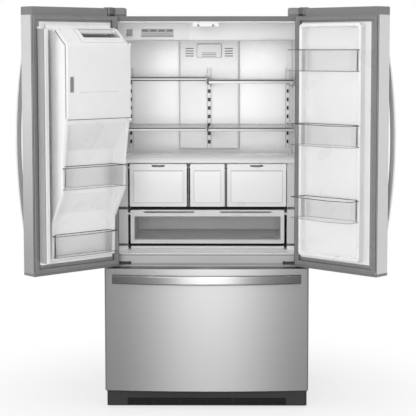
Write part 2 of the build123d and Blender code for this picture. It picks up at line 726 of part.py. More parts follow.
# Mullion guide: a half-moon block under the top flange with the curved cam groove
GUIDE_R = 58.0
GUIDE_H = 19.0
with BuildPart() as mullion_guide:
    with BuildSketch(Plane.XY.offset(FOOD_TOP - GUIDE_H)):
        with Locations((-4, behind(4))):
            Circle(GUIDE_R)
            with Locations((0, -GUIDE_R / 2)):
                Rectangle(2 * GUIDE_R, GUIDE_R, mode=Mode.SUBTRACT)
    extrude(amount=GUIDE_H)
    with BuildSketch(Plane.XY.offset(FOOD_TOP - GUIDE_H)):
        with Locations((-4, behind(4))):
            Circle(GUIDE_R - 20)
            Circle(GUIDE_R - 30, mode=Mode.SUBTRACT)
    extrude(amount=GUIDE_H / 2, mode=Mode.SUBTRACT)
save(mullion_guide.part, "mullion_guide")

# Ceiling panel with a rounded front and the seat of the lamp lens
LENS_X = (OPENING_HALF - LENS_INSET - LENS_W, OPENING_HALF - LENS_INSET)
ICE_MAKER_RIGHT = ICE_MAKER_W - OPENING_HALF
with BuildPart() as ceiling_panel:
    panel_right = OPENING_HALF - CLEAR
    panel_depth = (CEILING_FRONT, CEILING_BACK)
    panel_z = (CEILING_BOTTOM, FOOD_TOP)
    span_box((ICE_MAKER_RIGHT + CLEAR, panel_right), panel_depth, panel_z)
    fillet(ceiling_panel.edges().filter_by(Axis.X).group_by(Axis.Z)[0], 10)
    span_box(LENS_X, LENS_DEPTH, (CEILING_BOTTOM, CEILING_BOTTOM + 6), Mode.SUBTRACT)
save(ceiling_panel.part, "ceiling_panel")

# Ice maker housing with four vent slits, a square port and the ice outlet underneath
with BuildPart() as ice_maker:
    span_box((-OPENING_HALF + CLEAR, ICE_MAKER_RIGHT), panel_depth, panel_z)
    fillet(ice_maker.edges().filter_by(Axis.X).group_by(Axis.Z)[0], 10)
    vent_x = (VENT_INSET - OPENING_HALF, VENT_INSET + VENT_W - OPENING_HALF)
    vent_z = (CEILING_BOTTOM + 15, CEILING_BOTTOM + 52)
    span_box(vent_x, (CEILING_FRONT, CEILING_FRONT + 4), vent_z, Mode.SUBTRACT)
    with BuildSketch(front_plane(CEILING_FRONT)):
        with Locations((sum(vent_x) / 2, sum(vent_z) / 2)):
            with GridLocations(1, 9, 1, 4):
                Rectangle(VENT_W - 8, 4.5)
        with Locations((PORT_INSET - OPENING_HALF, sum(vent_z) / 2)):
            Rectangle(28, 32)
    extrude(amount=-16, mode=Mode.SUBTRACT)
    outlet_x = (OUTLET_INSET - OPENING_HALF, OUTLET_INSET + OUTLET_W - OPENING_HALF)
    outlet_depth = (CEILING_FRONT + OUTLET_SETBACK, CEILING_FRONT + OUTLET_SETBACK + OUTLET_L)
    span_box(outlet_x, outlet_depth, (CEILING_BOTTOM, CEILING_BOTTOM + 25), Mode.SUBTRACT)
save(ice_maker.part, "ice_maker")

# Air tower on the back wall, with four slits on each side of the filter cover
TOWER_FACE = FOOD_DEPTH - TOWER_T
FILTER_Z = (FOOD_TOP - FILTER_DROP - FILTER_H, FOOD_TOP - FILTER_DROP)
with BuildPart() as air_tower:
    span_box((-TOWER_W / 2, TOWER_W / 2), (TOWER_FACE, FOOD_DEPTH), (LADDER_BOTTOM, FOOD_TOP - LINER_RADIUS))
    fillet(air_tower.edges().filter_by(Axis.Z).group_by(Axis.Y)[0], 12)
    with BuildSketch(front_plane(TOWER_FACE)):
        with Locations((0, FILTER_Z[0] + 27)):
            with GridLocations(2 * FILTER_HALF + 70, 12, 2, 4):
                Rectangle(40, 5)
    extrude(amount=-14, mode=Mode.SUBTRACT)
save(air_tower.part, "air_tower")

with BuildPart() as air_filter_cover:
    span_box((-FILTER_HALF, FILTER_HALF), (TOWER_FACE - 9, TOWER_FACE), FILTER_Z)
    fillet(air_filter_cover.edges().filter_by(Axis.Y), 6)
    chamfer(air_filter_cover.faces().sort_by(Axis.Y)[0].edges(), 2)
    with BuildSketch(front_plane(TOWER_FACE - 9)):
        with Locations((0, FILTER_Z[0] + 16)):
            with GridLocations(1, 8, 1, 3):
                Rectangle(FILTER_HALF + 10, 3.5)
    extrude(amount=-4, mode=Mode.SUBTRACT)
save(air_filter_cover.part, "air_filter_cover")

# Slotted ladders that the shelves hook into
LADDER_XS = (-SHELF_OUT + LADDER_W / 2, 0.0, SHELF_OUT - LADDER_W / 2)
with BuildPart() as shelf_ladders:
    for x in LADDER_XS:
        foot = TOWER_FACE if x == 0 else FOOD_DEPTH
        span_box(
            (x - LADDER_W / 2, x + LADDER_W / 2), (foot - LADDER_T, foot), (LADDER_BOTTOM, LADDER_TOP)
        )
        with BuildSketch(front_plane(foot - LADDER_T)):
            with Locations((x, (LADDER_BOTTOM + LADDER_TOP) / 2 - LADDER_PITCH / 2)):
                with GridLocations(10, LADDER_PITCH, 2 if x == 0 else 1, 8):
                    Rectangle(4, 18)
        extrude(amount=-LADDER_T / 2, mode=Mode.SUBTRACT)
save(shelf_ladders.part, "shelf_ladders")


# Cantilever shelf frame: front trim, rear bar and two tapering arms that end on the ladders
def shelf_frame(side, top):
    seat = top - GLASS_T
    arm_ends = {SHELF_OUT: FOOD_DEPTH - LADDER_T, SHELF_IN + ARM_T: TOWER_FACE - LADDER_T}
    trim_back = SHELF_FRONT + SHELF_TRIM_D
    ends = (side * SHELF_OUT, side * SHELF_IN)
    with BuildPart() as frame:
        span_box(ends, (SHELF_FRONT, trim_back), (top + 1 - SHELF_TRIM_H, top + 1))
        chamfer(frame.edges().filter_by(Axis.X).group_by(Axis.Y)[0], 3)
        span_box(ends, (TOWER_FACE - LADDER_T - 12, TOWER_FACE - LADDER_T - 8), (seat - 14, seat))
        for outer, end in arm_ends.items():
            plane_x = side * (outer - ARM_T / 2)
            with BuildSketch(Plane.YZ.offset(plane_x)):
                Polygon(
                    (behind(trim_back), seat - 12),
                    (behind(end), seat - ARM_DROP),
                    (behind(end), seat),
                    (behind(trim_back), seat),
                    align=None,
                )
            extrude(amount=ARM_T / 2, both=True)
    return frame.part


def shelf_pane(side, top):
    trim_back = SHELF_FRONT + SHELF_TRIM_D
    with BuildPart() as pane:
        span_box(
            (side * (SHELF_OUT - 1), side * (SHELF_IN + 1)),
            (trim_back, TOWER_FACE - LADDER_T - 3),
            (top - GLASS_T, top),
        )
    return pane.part


with BuildPart() as shelf_frames:
    for side, top in SHELF_TOPS:
        add(shelf_frame(side, top))
save(shelf_frames.part, "shelf_frames")

# Crisper cover: a frame round its pane, carried by the side rails, with the two hanging dividers
COVER_HALF = OPENING_HALF - CLEAR
with BuildPart() as crisper_cover:
    span_box((-COVER_HALF, COVER_HALF), (CRISPER_FRONT - 3, RAILS_BACK), (COVER_BOTTOM, COVER_TOP_Z))
    fillet(crisper_cover.edges().filter_by(Axis.X).group_by(Axis.Y)[0], 5)
    pane_x = COVER_HALF - PANE_INSET
    pane_depth = (CRISPER_FRONT - 3 + PANE_INSET, RAILS_BACK - PANE_INSET)
    span_box((-pane_x, pane_x), pane_depth, (COVER_TOP_Z - GLASS_T, COVER_TOP_Z), Mode.SUBTRACT)
    span_box(
        (-pane_x + PANE_SEAT, pane_x - PANE_SEAT),
        (pane_depth[0] + PANE_SEAT, pane_depth[1] - PANE_SEAT),
        (COVER_BOTTOM, COVER_TOP_Z),
        Mode.SUBTRACT,
    )
    for x, reveal in DIVIDERS:
        divider = (x - DIVIDER_T / 2, x + DIVIDER_T / 2)
        span_box(divider, (RAILS_FRONT, RAILS_BACK), (CRISPER_BOTTOM, COVER_BOTTOM))
        span_box(divider, (RAILS_FRONT, RAILS_BACK), (COVER_BOTTOM, COVER_TOP_Z - GLASS_T))
        ledge = (divider[0] - LEDGE_W, divider[1] + LEDGE_W)
        span_box(ledge, (RAILS_FRONT, RAILS_BACK), (LEDGE_Z - LEDGE_T, LEDGE_Z))
save(crisper_cover.part, "crisper_cover")

# Glass of the four shelves and of the crisper cover
with BuildPart() as shelf_panes:
    for side, top in SHELF_TOPS:
        add(shelf_pane(side, top))
    span_box(
        (-pane_x + CLEAR, pane_x - CLEAR),
        (pane_depth[0] + CLEAR, pane_depth[1] - CLEAR),
        (COVER_TOP_Z - GLASS_T, COVER_TOP_Z),
    )
save(shelf_panes.part, "shelf_panes")

# Side rails: channels against the liner walls that carry the crispers, the pantry drawer and the cover
with BuildPart() as side_rails:
    for side in (-1, 1):
        rail_z = (FOOD_FLOOR, COVER_BOTTOM)
        span_box((side * RAIL_FACE, side * RAIL_IN), (RAILS_FRONT, RAILS_BACK), rail_z)
        span_box((side * RAIL_FACE, side * COVER_HALF), (RAILS_FRONT, RAILS_FRONT + RAIL_WALL), rail_z)
        for top in (LEDGE_Z, PANTRY_LEDGE_Z):
            ledge_x = (side * (RAIL_FACE - RAIL_LEDGE_W), side * RAIL_FACE)
            span_box(ledge_x, (RAILS_FRONT, RAILS_BACK), (top - LEDGE_T, top))
save(side_rails.part, "side_rails")


# Drafted block with its bottom edges broken, the form of a tub and of the space in it
def drafted_block(middle, width, length, top, bottom, radius):
    with BuildPart() as block:
        with BuildSketch(Plane.XY.offset(top)):
            with Locations(middle):
                Rectangle(width, length)
        extrude(amount=bottom - top, taper=TUB_DRAFT)
        chamfer(block.faces().sort_by(Axis.Z)[0].edges(), radius)
    return block.part


# Tub with its rim: the space in it keeps one wall all round
def rimmed_tub(middle, width, length, rim_width, top, bottom):
    with BuildPart() as tub:
        add(drafted_block(middle, width, length, top, bottom, TUB_R))
        with BuildSketch(Plane.XY.offset(top - RIM_T)):
            with Locations((middle[0] + rim_width[1], middle[1])):
                Rectangle(rim_width[0], length)
        extrude(amount=RIM_T)
        inner = (width - 2 * TUB_WALL, length - 2 * TUB_WALL)
        add(
            drafted_block(middle, *inner, top, bottom + TUB_WALL, TUB_R - TUB_WALL),
            mode=Mode.SUBTRACT,
        )
    return tub.part


# Hanging drawer: a tub with draft, a rim that runs on the ledges, and a framed front with its window
def hanging_drawer(front_x, rim_x, tub_x, bottom, top, ledge_top, grips):
    rim = (ledge_top + CLEAR, ledge_top + CLEAR + RIM_T)
    front = (CRISPER_FRONT, CRISPER_FRONT + FRONT_T)
    middle = sum(tub_x) / 2
    tub_depth = (front[1], CRISPER_BACK)
    centre_depth = behind(sum(tub_depth) / 2)
    rim_width = (rim_x[1] - rim_x[0], sum(rim_x) / 2 - middle)
    tub_size = (tub_x[1] - tub_x[0], tub_depth[1] - tub_depth[0])
    with BuildPart() as drawer:
        add(rimmed_tub((middle, centre_depth), *tub_size, rim_width, rim[1], bottom + 4))
        span_box(front_x, front, (bottom, top))
        fillet(drawer.edges().filter_by(Axis.Y).group_by(Axis.Y)[0], 5)
        with BuildSketch(front_plane(front[0])):
            with Locations((sum(front_x) / 2, (bottom + top) / 2 - 6)):
                RectangleRounded(front_x[1] - front_x[0] - 32, top - bottom - 44, 6)
        extrude(amount=-2, mode=Mode.SUBTRACT)
        for grip_x, grip_w, grip_h in grips:
            with BuildSketch(front_plane(front[0])):
                with Locations((grip_x, top - SLIDER_DROP)):
                    Rectangle(grip_w, grip_h)
            extrude(amount=-FRONT_T, mode=Mode.SUBTRACT)
    return drawer.part


divider_faces = [(x - DIVIDER_T / 2, x + DIVIDER_T / 2) for x, reveal in DIVIDERS]
fronts_at = [(x - reveal, x + reveal) for x, reveal in DIVIDERS]
CRISPER_SPANS = {
    "crisper_left": (CRISPER_SIDES[0] - RAIL_FACE, fronts_at[0][0]),
    "crisper_centre": (fronts_at[0][1], fronts_at[1][0]),
    "crisper_right": (fronts_at[1][1], RAIL_FACE - CRISPER_SIDES[1]),
}
CRISPER_RIMS = {
    "crisper_left": (-RAIL_FACE, divider_faces[0][0]),
    "crisper_centre": (divider_faces[0][1], divider_faces[1][0]),
    "crisper_right": (divider_faces[1][1], RAIL_FACE),
}
for name, front_x in CRISPER_SPANS.items():
    low, high = CRISPER_RIMS[name]
    low_ledge = RAIL_LEDGE_W if name == "crisper_left" else LEDGE_W
    high_ledge = RAIL_LEDGE_W if name == "crisper_right" else LEDGE_W
    tub_x = (low + low_ledge + RIM_GAP, high - high_ledge - RIM_GAP)
    middle = sum(front_x) / 2
    slots = [] if name == "crisper_centre" else [(middle, SLIDER_SLOT_W, SLIDER_H + 2 * CLEAR)]
    crisper = hanging_drawer(
        front_x, (low + RIM_GAP, high - RIM_GAP), tub_x, CRISPER_BOTTOM, CRISPER_TOP, LEDGE_Z, slots
    )
    save(crisper, name)

PANTRY_HALF = RAIL_FACE - PANTRY_SIDE
pantry_grips = [(-PANTRY_HALF / 2, GRIP_W, GRIP_H), (PANTRY_HALF / 2, GRIP_W, GRIP_H)]
pantry_tub = RAIL_FACE - RAIL_LEDGE_W - RIM_GAP
pantry_drawer = hanging_drawer(
    (-PANTRY_HALF, PANTRY_HALF),
    (-RAIL_FACE + RIM_GAP, RAIL_FACE - RIM_GAP),
    (-pantry_tub, pantry_tub),
    PANTRY_BOTTOM,
    PANTRY_TOP,
    PANTRY_LEDGE_Z,
    pantry_grips,
)
save(pantry_drawer, "pantry_drawer")

# Humidity sliders in the slots of the outer crispers
for name, span in (("humidity_slider_left", "crisper_left"), ("humidity_slider_right", "crisper_right")):
    middle = sum(CRISPER_SPANS[span]) / 2
    with BuildPart() as slider:
        with BuildSketch(front_plane(CRISPER_FRONT - 2)):
            with Locations((middle, CRISPER_TOP - SLIDER_DROP)):
                Rectangle(SLIDER_W, SLIDER_H)
        extrude(amount=-(FRONT_T + 2))
    save(slider.part, name)

# Drawer inner panel with a raised, rounded plug
with BuildPart() as freezer_inner_panel:
    panel_x = HALF - PLATE_INSET
    panel_z = (DRAWER_BOTTOM, DRAWER_TOP)
    span_box((-panel_x, panel_x), (-DOOR_BACK - DOOR_PLATE, -DOOR_BACK), panel_z)
    plug_half = OPENING_HALF - SLIDE_OUTER_T - SLIDE_INNER_T - 3
    with BuildSketch(front_plane(-DOOR_BACK)):
        with Locations((0, (FREEZER_FLOOR + FREEZER_TOP) / 2)):
            RectangleRounded(2 * plug_half, FREEZER_TOP - FREEZER_FLOOR - 40, 20)
    extrude(amount=-(DOOR_BACK + 10), taper=20)
save(freezer_inner_panel.part, "freezer_inner_panel")


# Gasket: a soft ring on the inner face, just clear of the flange that it closes on
def gasket(x, z):
    with BuildPart() as ring:
        with BuildSketch(front_plane(-DOOR_BACK)):
            with Locations(((x[0] + x[1]) / 2, (z[0] + z[1]) / 2)):
                Rectangle(x[1] - x[0], z[1] - z[0])
                Rectangle(
                    x[1] - x[0] - 2 * GASKET_W, z[1] - z[0] - 2 * GASKET_W, mode=Mode.SUBTRACT
                )
        extrude(amount=-(DOOR_BACK - CLEAR))
    return ring.part


gasket_far = HINGE_X + GASKET_EDGE
freezer_seal = (FREEZER_FLOOR - LINER_WALL - GASKET_W - 0.5, FREEZER_TOP - GASKET_EDGE)
save(gasket((-gasket_far, gasket_far), freezer_seal), "freezer_gasket")

# Drawer handle: a bowed bar whose ends rest on the crowned face
with BuildPart() as freezer_handle:
    bar_half = BAR_W / 2
    tip_y = crown_y(bar_half) - BAR_END_REACH
    bow_y = crown_y(0) - BAR_REACH
    with BuildSketch(Plane.XY.offset(BAR_BOTTOM)):
        with BuildLine():
            outer = ThreePointArc((-bar_half, tip_y), (0, bow_y), (bar_half, tip_y))
            Line(outer @ 1, (bar_half, crown_y(bar_half) + 5))
            Line((bar_half, crown_y(bar_half) + 5), (bar_half - 40, crown_y(bar_half - 40) + 5))
            inner = ThreePointArc(
                (bar_half - 40, crown_y(bar_half - 40) + 5),
                (0, bow_y + BAR_T),
                (40 - bar_half, crown_y(bar_half - 40) + 5),
            )
            Line(inner @ 1, (-bar_half, crown_y(bar_half) + 5))
            Line((-bar_half, crown_y(bar_half) + 5), outer @ 0)
        make_face()
        with Locations((0, CROWN_CENTRE)):
            Circle(CROWN_R + CLEAR / 2, mode=Mode.SUBTRACT)
    extrude(amount=BAR_TOP - BAR_BOTTOM)
    fillet(freezer_handle.edges().group_by(Axis.Z)[-1].filter_by(GeomType.CIRCLE).sort_by(Axis.Y)[0], 5)
    fillet(freezer_handle.edges().group_by(Axis.Z)[0].filter_by(GeomType.CIRCLE).sort_by(Axis.Y)[0], 5)
save(freezer_handle.part, "freezer_handle")

# Drawer slides: fixed channels on the liner, and the members that move with the drawer
slide_wall = OPENING_HALF - SLIDE_OUTER_T
with BuildPart() as freezer_outer_slides:
    for side in (-1, 1):
        span_box((side * slide_wall, side * OPENING_HALF), (SLIDE_FRONT, SLIDE_BACK), SLIDE_Z)
        groove = (SLIDE_Z[0] + 8, SLIDE_Z[1] - 8)
        groove_x = (side * slide_wall, side * (slide_wall + 9))
        span_box(groove_x, (SLIDE_FRONT, SLIDE_BACK), groove, Mode.SUBTRACT)
save(freezer_outer_slides.part, "freezer_outer_slides")

with BuildPart() as freezer_inner_slides:
    inner_out = slide_wall - CLEAR
    for side in (-1, 1):
        span_box(
            (side * (inner_out - SLIDE_INNER_T), side * inner_out), (-DOOR_BACK, SLIDE_BACK - 20), SLIDE_Z
        )
        tongue = (SLIDE_Z[0] + 8 + CLEAR, SLIDE_Z[1] - 8 - CLEAR)
        span_box((side * inner_out, side * (inner_out + 8)), (SLIDE_FRONT, SLIDE_BACK - 20), tongue)
save(freezer_inner_slides.part, "freezer_inner_slides")

# Freezer basket: a drafted tub hung by its rim on the moving slides
with BuildPart() as freezer_basket:
    rim_top = SLIDE_Z[1] + RIM_T
    basket_half = OPENING_HALF - BASKET_SIDE
    basket_back = FREEZER_LOW_DEPTH - BASKET_GAP
    basket_middle = behind((basket_back + BASKET_FRONT) / 2)
    rim_half = inner_out - 1
    tub_size = (2 * basket_half, basket_back - BASKET_FRONT)
    add(rimmed_tub((0, basket_middle), *tub_size, (2 * rim_half, 0), rim_top, FREEZER_FLOOR + BASKET_LIFT))
    with BuildSketch(front_plane(BASKET_FRONT)):
        with Locations((0, rim_top - 60)):
            with GridLocations(basket_half / 3, 1, 5, 1):
                Rectangle(basket_half / 3 - 27, 26)
    extrude(amount=-40, mode=Mode.SUBTRACT)
save(freezer_basket.part, "freezer_basket")

# Sliding tray that runs on the rim of the basket
with BuildPart() as freezer_tray:
    tray_floor = rim_top + CLEAR
    tray_top = FREEZER_TOP - TRAY_DROP
    tray_span = (BASKET_FRONT + 125, basket_back)
    tray_middle = behind(sum(tray_span) / 2)
    tray_size = (2 * basket_half + 16, tray_span[1] - tray_span[0])
    with BuildSketch(Plane.XY.offset(tray_floor)):
        with Locations((0, tray_middle)):
            RectangleRounded(*tray_size, 12)
    extrude(amount=tray_top - tray_floor)
    with BuildSketch(Plane.XY.offset(tray_floor + TUB_WALL)):
        with Locations((0, tray_middle)):
            RectangleRounded(tray_size[0] - 2 * TUB_WALL, tray_size[1] - 2 * TUB_WALL, 12 - TUB_WALL)
    extrude(amount=tray_top - tray_floor, mode=Mode.SUBTRACT)
save(freezer_tray.part, "freezer_tray")

# Dispenser niche, as the sizes that the left door and its housing share
NICHE_MIDDLE = (NICHE_BOTTOM + NICHE_TOP) / 2
NICHE_FACE = crown_y(NICHE_X) - FRONT_Y
NICHE_BACK = NICHE_FACE + NICHE_DEPTH


# Steel wrap with the shared crown in front, closed at both ends, with lips at the back to seat the liner
def crowned_wrap(start, end, bottom, top):
    back = -DOOR_BACK - DOOR_PLATE
    with BuildPart() as wrap:
        with BuildSketch(Plane.XY.offset(bottom)) as outside:
            crowned_plan(start, end, back)
            fillet(outside.vertices().sort_by(Axis.Y)[0:2], EDGE_R)
        extrude(amount=top - bottom)
        with BuildSketch(Plane.XY.offset(bottom + SHEET)) as inside:
            crowned_plan(start, end, back)
            fillet(inside.vertices().sort_by(Axis.Y)[0:2], EDGE_R)
            offset(amount=-SHEET)
            with Locations(((start + end) / 2, behind(back) - SHEET)):
                Rectangle(abs(start - end) - 2 * WRAP_LIP, 2 * SHEET)
        extrude(amount=top - bottom - 2 * SHEET, mode=Mode.SUBTRACT)
    return wrap.part


# Freezer drawer front
save(crowned_wrap(HALF, -HALF, DRAWER_BOTTOM, DRAWER_TOP), "freezer_front")


# Door panel: the wrap with a hole for each hinge pin, and the mouth of the dispenser in the left door
def door_panel(side):
    with BuildPart() as panel:
        add(crowned_wrap(side * HALF, side * CENTRE_GAP / 2, DOOR_BOTTOM + CAP_H, PANEL_TOP))
        for end in (PANEL_TOP, DOOR_BOTTOM + CAP_H):
            with Locations((side * HINGE_X, behind(-HINGE_FORWARD), end)):
                Cylinder(HINGE_PIN_R + PIN_CLEAR, 4 * SHEET, mode=Mode.SUBTRACT)
        if side < 0:
            with BuildSketch(front_plane(NICHE_BACK)):
                with Locations((NICHE_X, NICHE_MIDDLE)):
                    Rectangle(NICHE_W, NICHE_H)
            extrude(amount=2 * NICHE_DEPTH, mode=Mode.SUBTRACT)
    return panel.part


# End caps: a low one under the door and a tall one that hides the hinge from the front
def door_caps(side):
    with BuildPart() as caps:
        with BuildSketch(Plane.XY.offset(DOOR_BOTTOM)):
            crowned_plan(side * HALF, side * CENTRE_GAP / 2, -DOOR_BACK - DOOR_PLATE)
        extrude(amount=CAP_H)
        with BuildSketch(Plane.XY.offset(PANEL_TOP)):
            crowned_plan(side * (HINGE_X - CAP_START), side * CENTRE_GAP / 2, -DOOR_BACK)
        extrude(amount=DOOR_TOP - PANEL_TOP)
        fillet(caps.edges().filter_by(Axis.Z).sort_by(Axis.Y)[0:2], EDGE_R)
        chamfer(caps.faces().sort_by(Axis.Z)[-1].edges(), 3)
        with Locations((side * HINGE_X, behind(-HINGE_FORWARD), DOOR_BOTTOM)):
            Cylinder(HINGE_PIN_R + PIN_CLEAR, 4 * CAP_H, mode=Mode.SUBTRACT)
    return caps.part


# Door handle: a bowed upright bar that meets the face at both ends
def door_handle(side):
    seat_y = crown_y(HANDLE_INSET) - CLEAR / 2
    middle = (HANDLE_BOTTOM + HANDLE_TOP) / 2
    with BuildPart() as handle:
        with BuildSketch(Plane.YZ.offset(side * HANDLE_INSET)):
            with BuildLine():
                outer = ThreePointArc(
                    (seat_y - 5, HANDLE_BOTTOM), (seat_y - HANDLE_REACH, middle), (seat_y - 5, HANDLE_TOP)
                )
                Polyline(outer @ 1, (seat_y, HANDLE_TOP), (seat_y, HANDLE_TOP - HANDLE_FOOT))
                inner = ThreePointArc(
                    (seat_y, HANDLE_TOP - HANDLE_FOOT),
                    (seat_y - HANDLE_REACH + HANDLE_T, middle),
                    (seat_y, HANDLE_BOTTOM + HANDLE_FOOT),
                )
                Polyline(inner @ 1, (seat_y, HANDLE_BOTTOM), outer @ 0)
            make_face()
        extrude(amount=side * HANDLE_W)
        fillet(handle.edges().filter_by(GeomType.CIRCLE).sort_by(Axis.Y)[0:2], 5)
    return handle.part


# Clear door bin: its back fits between the walls of the liner and its front spreads over them
def door_bin(side, outer, spread, crown_x, back, front, bottom):
    waist = front[0]
    x = [side * v for v in (outer[0], spread[0], crown_x, spread[1], outer[1])]
    with BuildPart() as tub:
        for wall, floor, mode in ((0, 0, Mode.ADD), (BIN_WALL, BIN_WALL, Mode.SUBTRACT)):
            with BuildSketch(Plane.XY.offset(bottom + floor)):
                Polygon(
                    (x[0] - side * wall, behind(back + wall)),
                    (x[0] - side * wall, behind(waist + wall)),
                    (x[1] - side * wall, behind(waist + wall)),
                    (x[1] - side * wall, behind(front[1] - wall)),
                    (x[2], behind(front[2] - wall)),
                    (x[3] + side * wall, behind(front[3] - wall)),
                    (x[3] + side * wall, behind(waist + wall)),
                    (x[4] + side * wall, behind(waist + wall)),
                    (x[4] + side * wall, behind(back + wall)),
                    align=None,
                )
            extrude(amount=BIN_H - floor, mode=mode)
        front_edges = tub.edges().filter_by(Axis.Z).filter_by_position(
            Axis.Y, behind(waist + 5), behind(front[2] + 1)
        )
        fillet(front_edges.group_by(SortBy.LENGTH)[-1], min(8, 0.35 * (front[1] - waist)))
        chamfer(tub.faces().sort_by(Axis.Z)[0].edges(), 1.5)
    return tub.part


# Liner of the right door: a plate with a raised border that the bins hang in
def liner_plate(side):
    with BuildPart() as plate:
        span_box(
            (side * (HALF - PLATE_INSET), side * (CENTRE_GAP / 2 + 4)),
            (-DOOR_BACK - DOOR_PLATE, -DOOR_BACK),
            (DOOR_BOTTOM + CAP_H, PANEL_TOP),
        )
    return plate.part


with BuildPart() as right_door_liner:
    add(liner_plate(1))
    dyke_middle = ((DYKE_IN + DYKE_OUT) / 2, (DYKE_BOTTOM + DYKE_TOP) / 2)
    with BuildSketch(front_plane(-DOOR_BACK)):
        with Locations(dyke_middle):
            RectangleRounded(DYKE_OUT - DYKE_IN, DYKE_TOP - DYKE_BOTTOM, DYKE_R)
            RectangleRounded(
                DYKE_OUT - DYKE_IN - 2 * DYKE_WALL,
                DYKE_TOP - DYKE_BOTTOM - 2 * DYKE_WALL,
                DYKE_R - 8,
                mode=Mode.SUBTRACT,
            )
    extrude(amount=-(DOOR_BACK + RIGHT_DYKE_DEPTH))
    chamfer(right_door_liner.faces().sort_by(Axis.Y)[-1].edges(), 4)
save_on_door(right_door_liner.part, 1, "right_door_liner")

for side, door in ((-1, "left"), (1, "right")):
    save_on_door(door_panel(side), side, f"{door}_door_panel")
    save_on_door(door_caps(side), side, f"{door}_door_caps")
    save_on_door(door_handle(side), side, f"{door}_handle")
    gasket_x = sorted((side * GASKET_EDGE, side * gasket_far))
    save_on_door(gasket(gasket_x, (GASKET_BOTTOM, GASKET_TOP)), side, f"{door}_door_gasket")

# Clear bins of both doors, hung between the moulded walls
inside_dyke = (DYKE_OUT - DYKE_WALL - CLEAR, DYKE_IN + DYKE_WALL + CLEAR)
over_dyke = (DYKE_OUT - 1, DYKE_IN + 1)
right_waist = RIGHT_DYKE_DEPTH + CLEAR
right_floors = (DYKE_TOP - RIGHT_BIN_DROP, *[DYKE_BOTTOM + lift for lift in RIGHT_BIN_LIFTS])
with BuildPart() as right_door_bins:
    for bottom, set_back in zip(right_floors, (0.0, BIN_SET_BACK, BIN_SET_BACK)):
        fronts = (right_waist, BIN_FRONT - set_back, BIN_FRONT, BIN_FRONT - 0.7 * set_back)
        add(door_bin(1, inside_dyke, over_dyke, BIN_CROWN_X, BIN_BACK, fronts, bottom))
save_on_door(right_door_bins.part, 1, "right_door_bins")
left_backs = (UPPER_BACK + CLEAR, BIN_BACK)
with BuildPart() as left_door_bins:
    for lift, back, (waist, ends, crown) in zip(LEFT_BIN_LIFTS, left_backs, LEFT_BIN_FRONTS):
        fronts = (waist, ends, crown, ends)
        middle_x = (DYKE_OUT + DYKE_IN) / 2
        add(door_bin(-1, inside_dyke, over_dyke, middle_x, back, fronts, DYKE_BOTTOM + lift))
save_on_door(left_door_bins.part, -1, "left_door_bins")

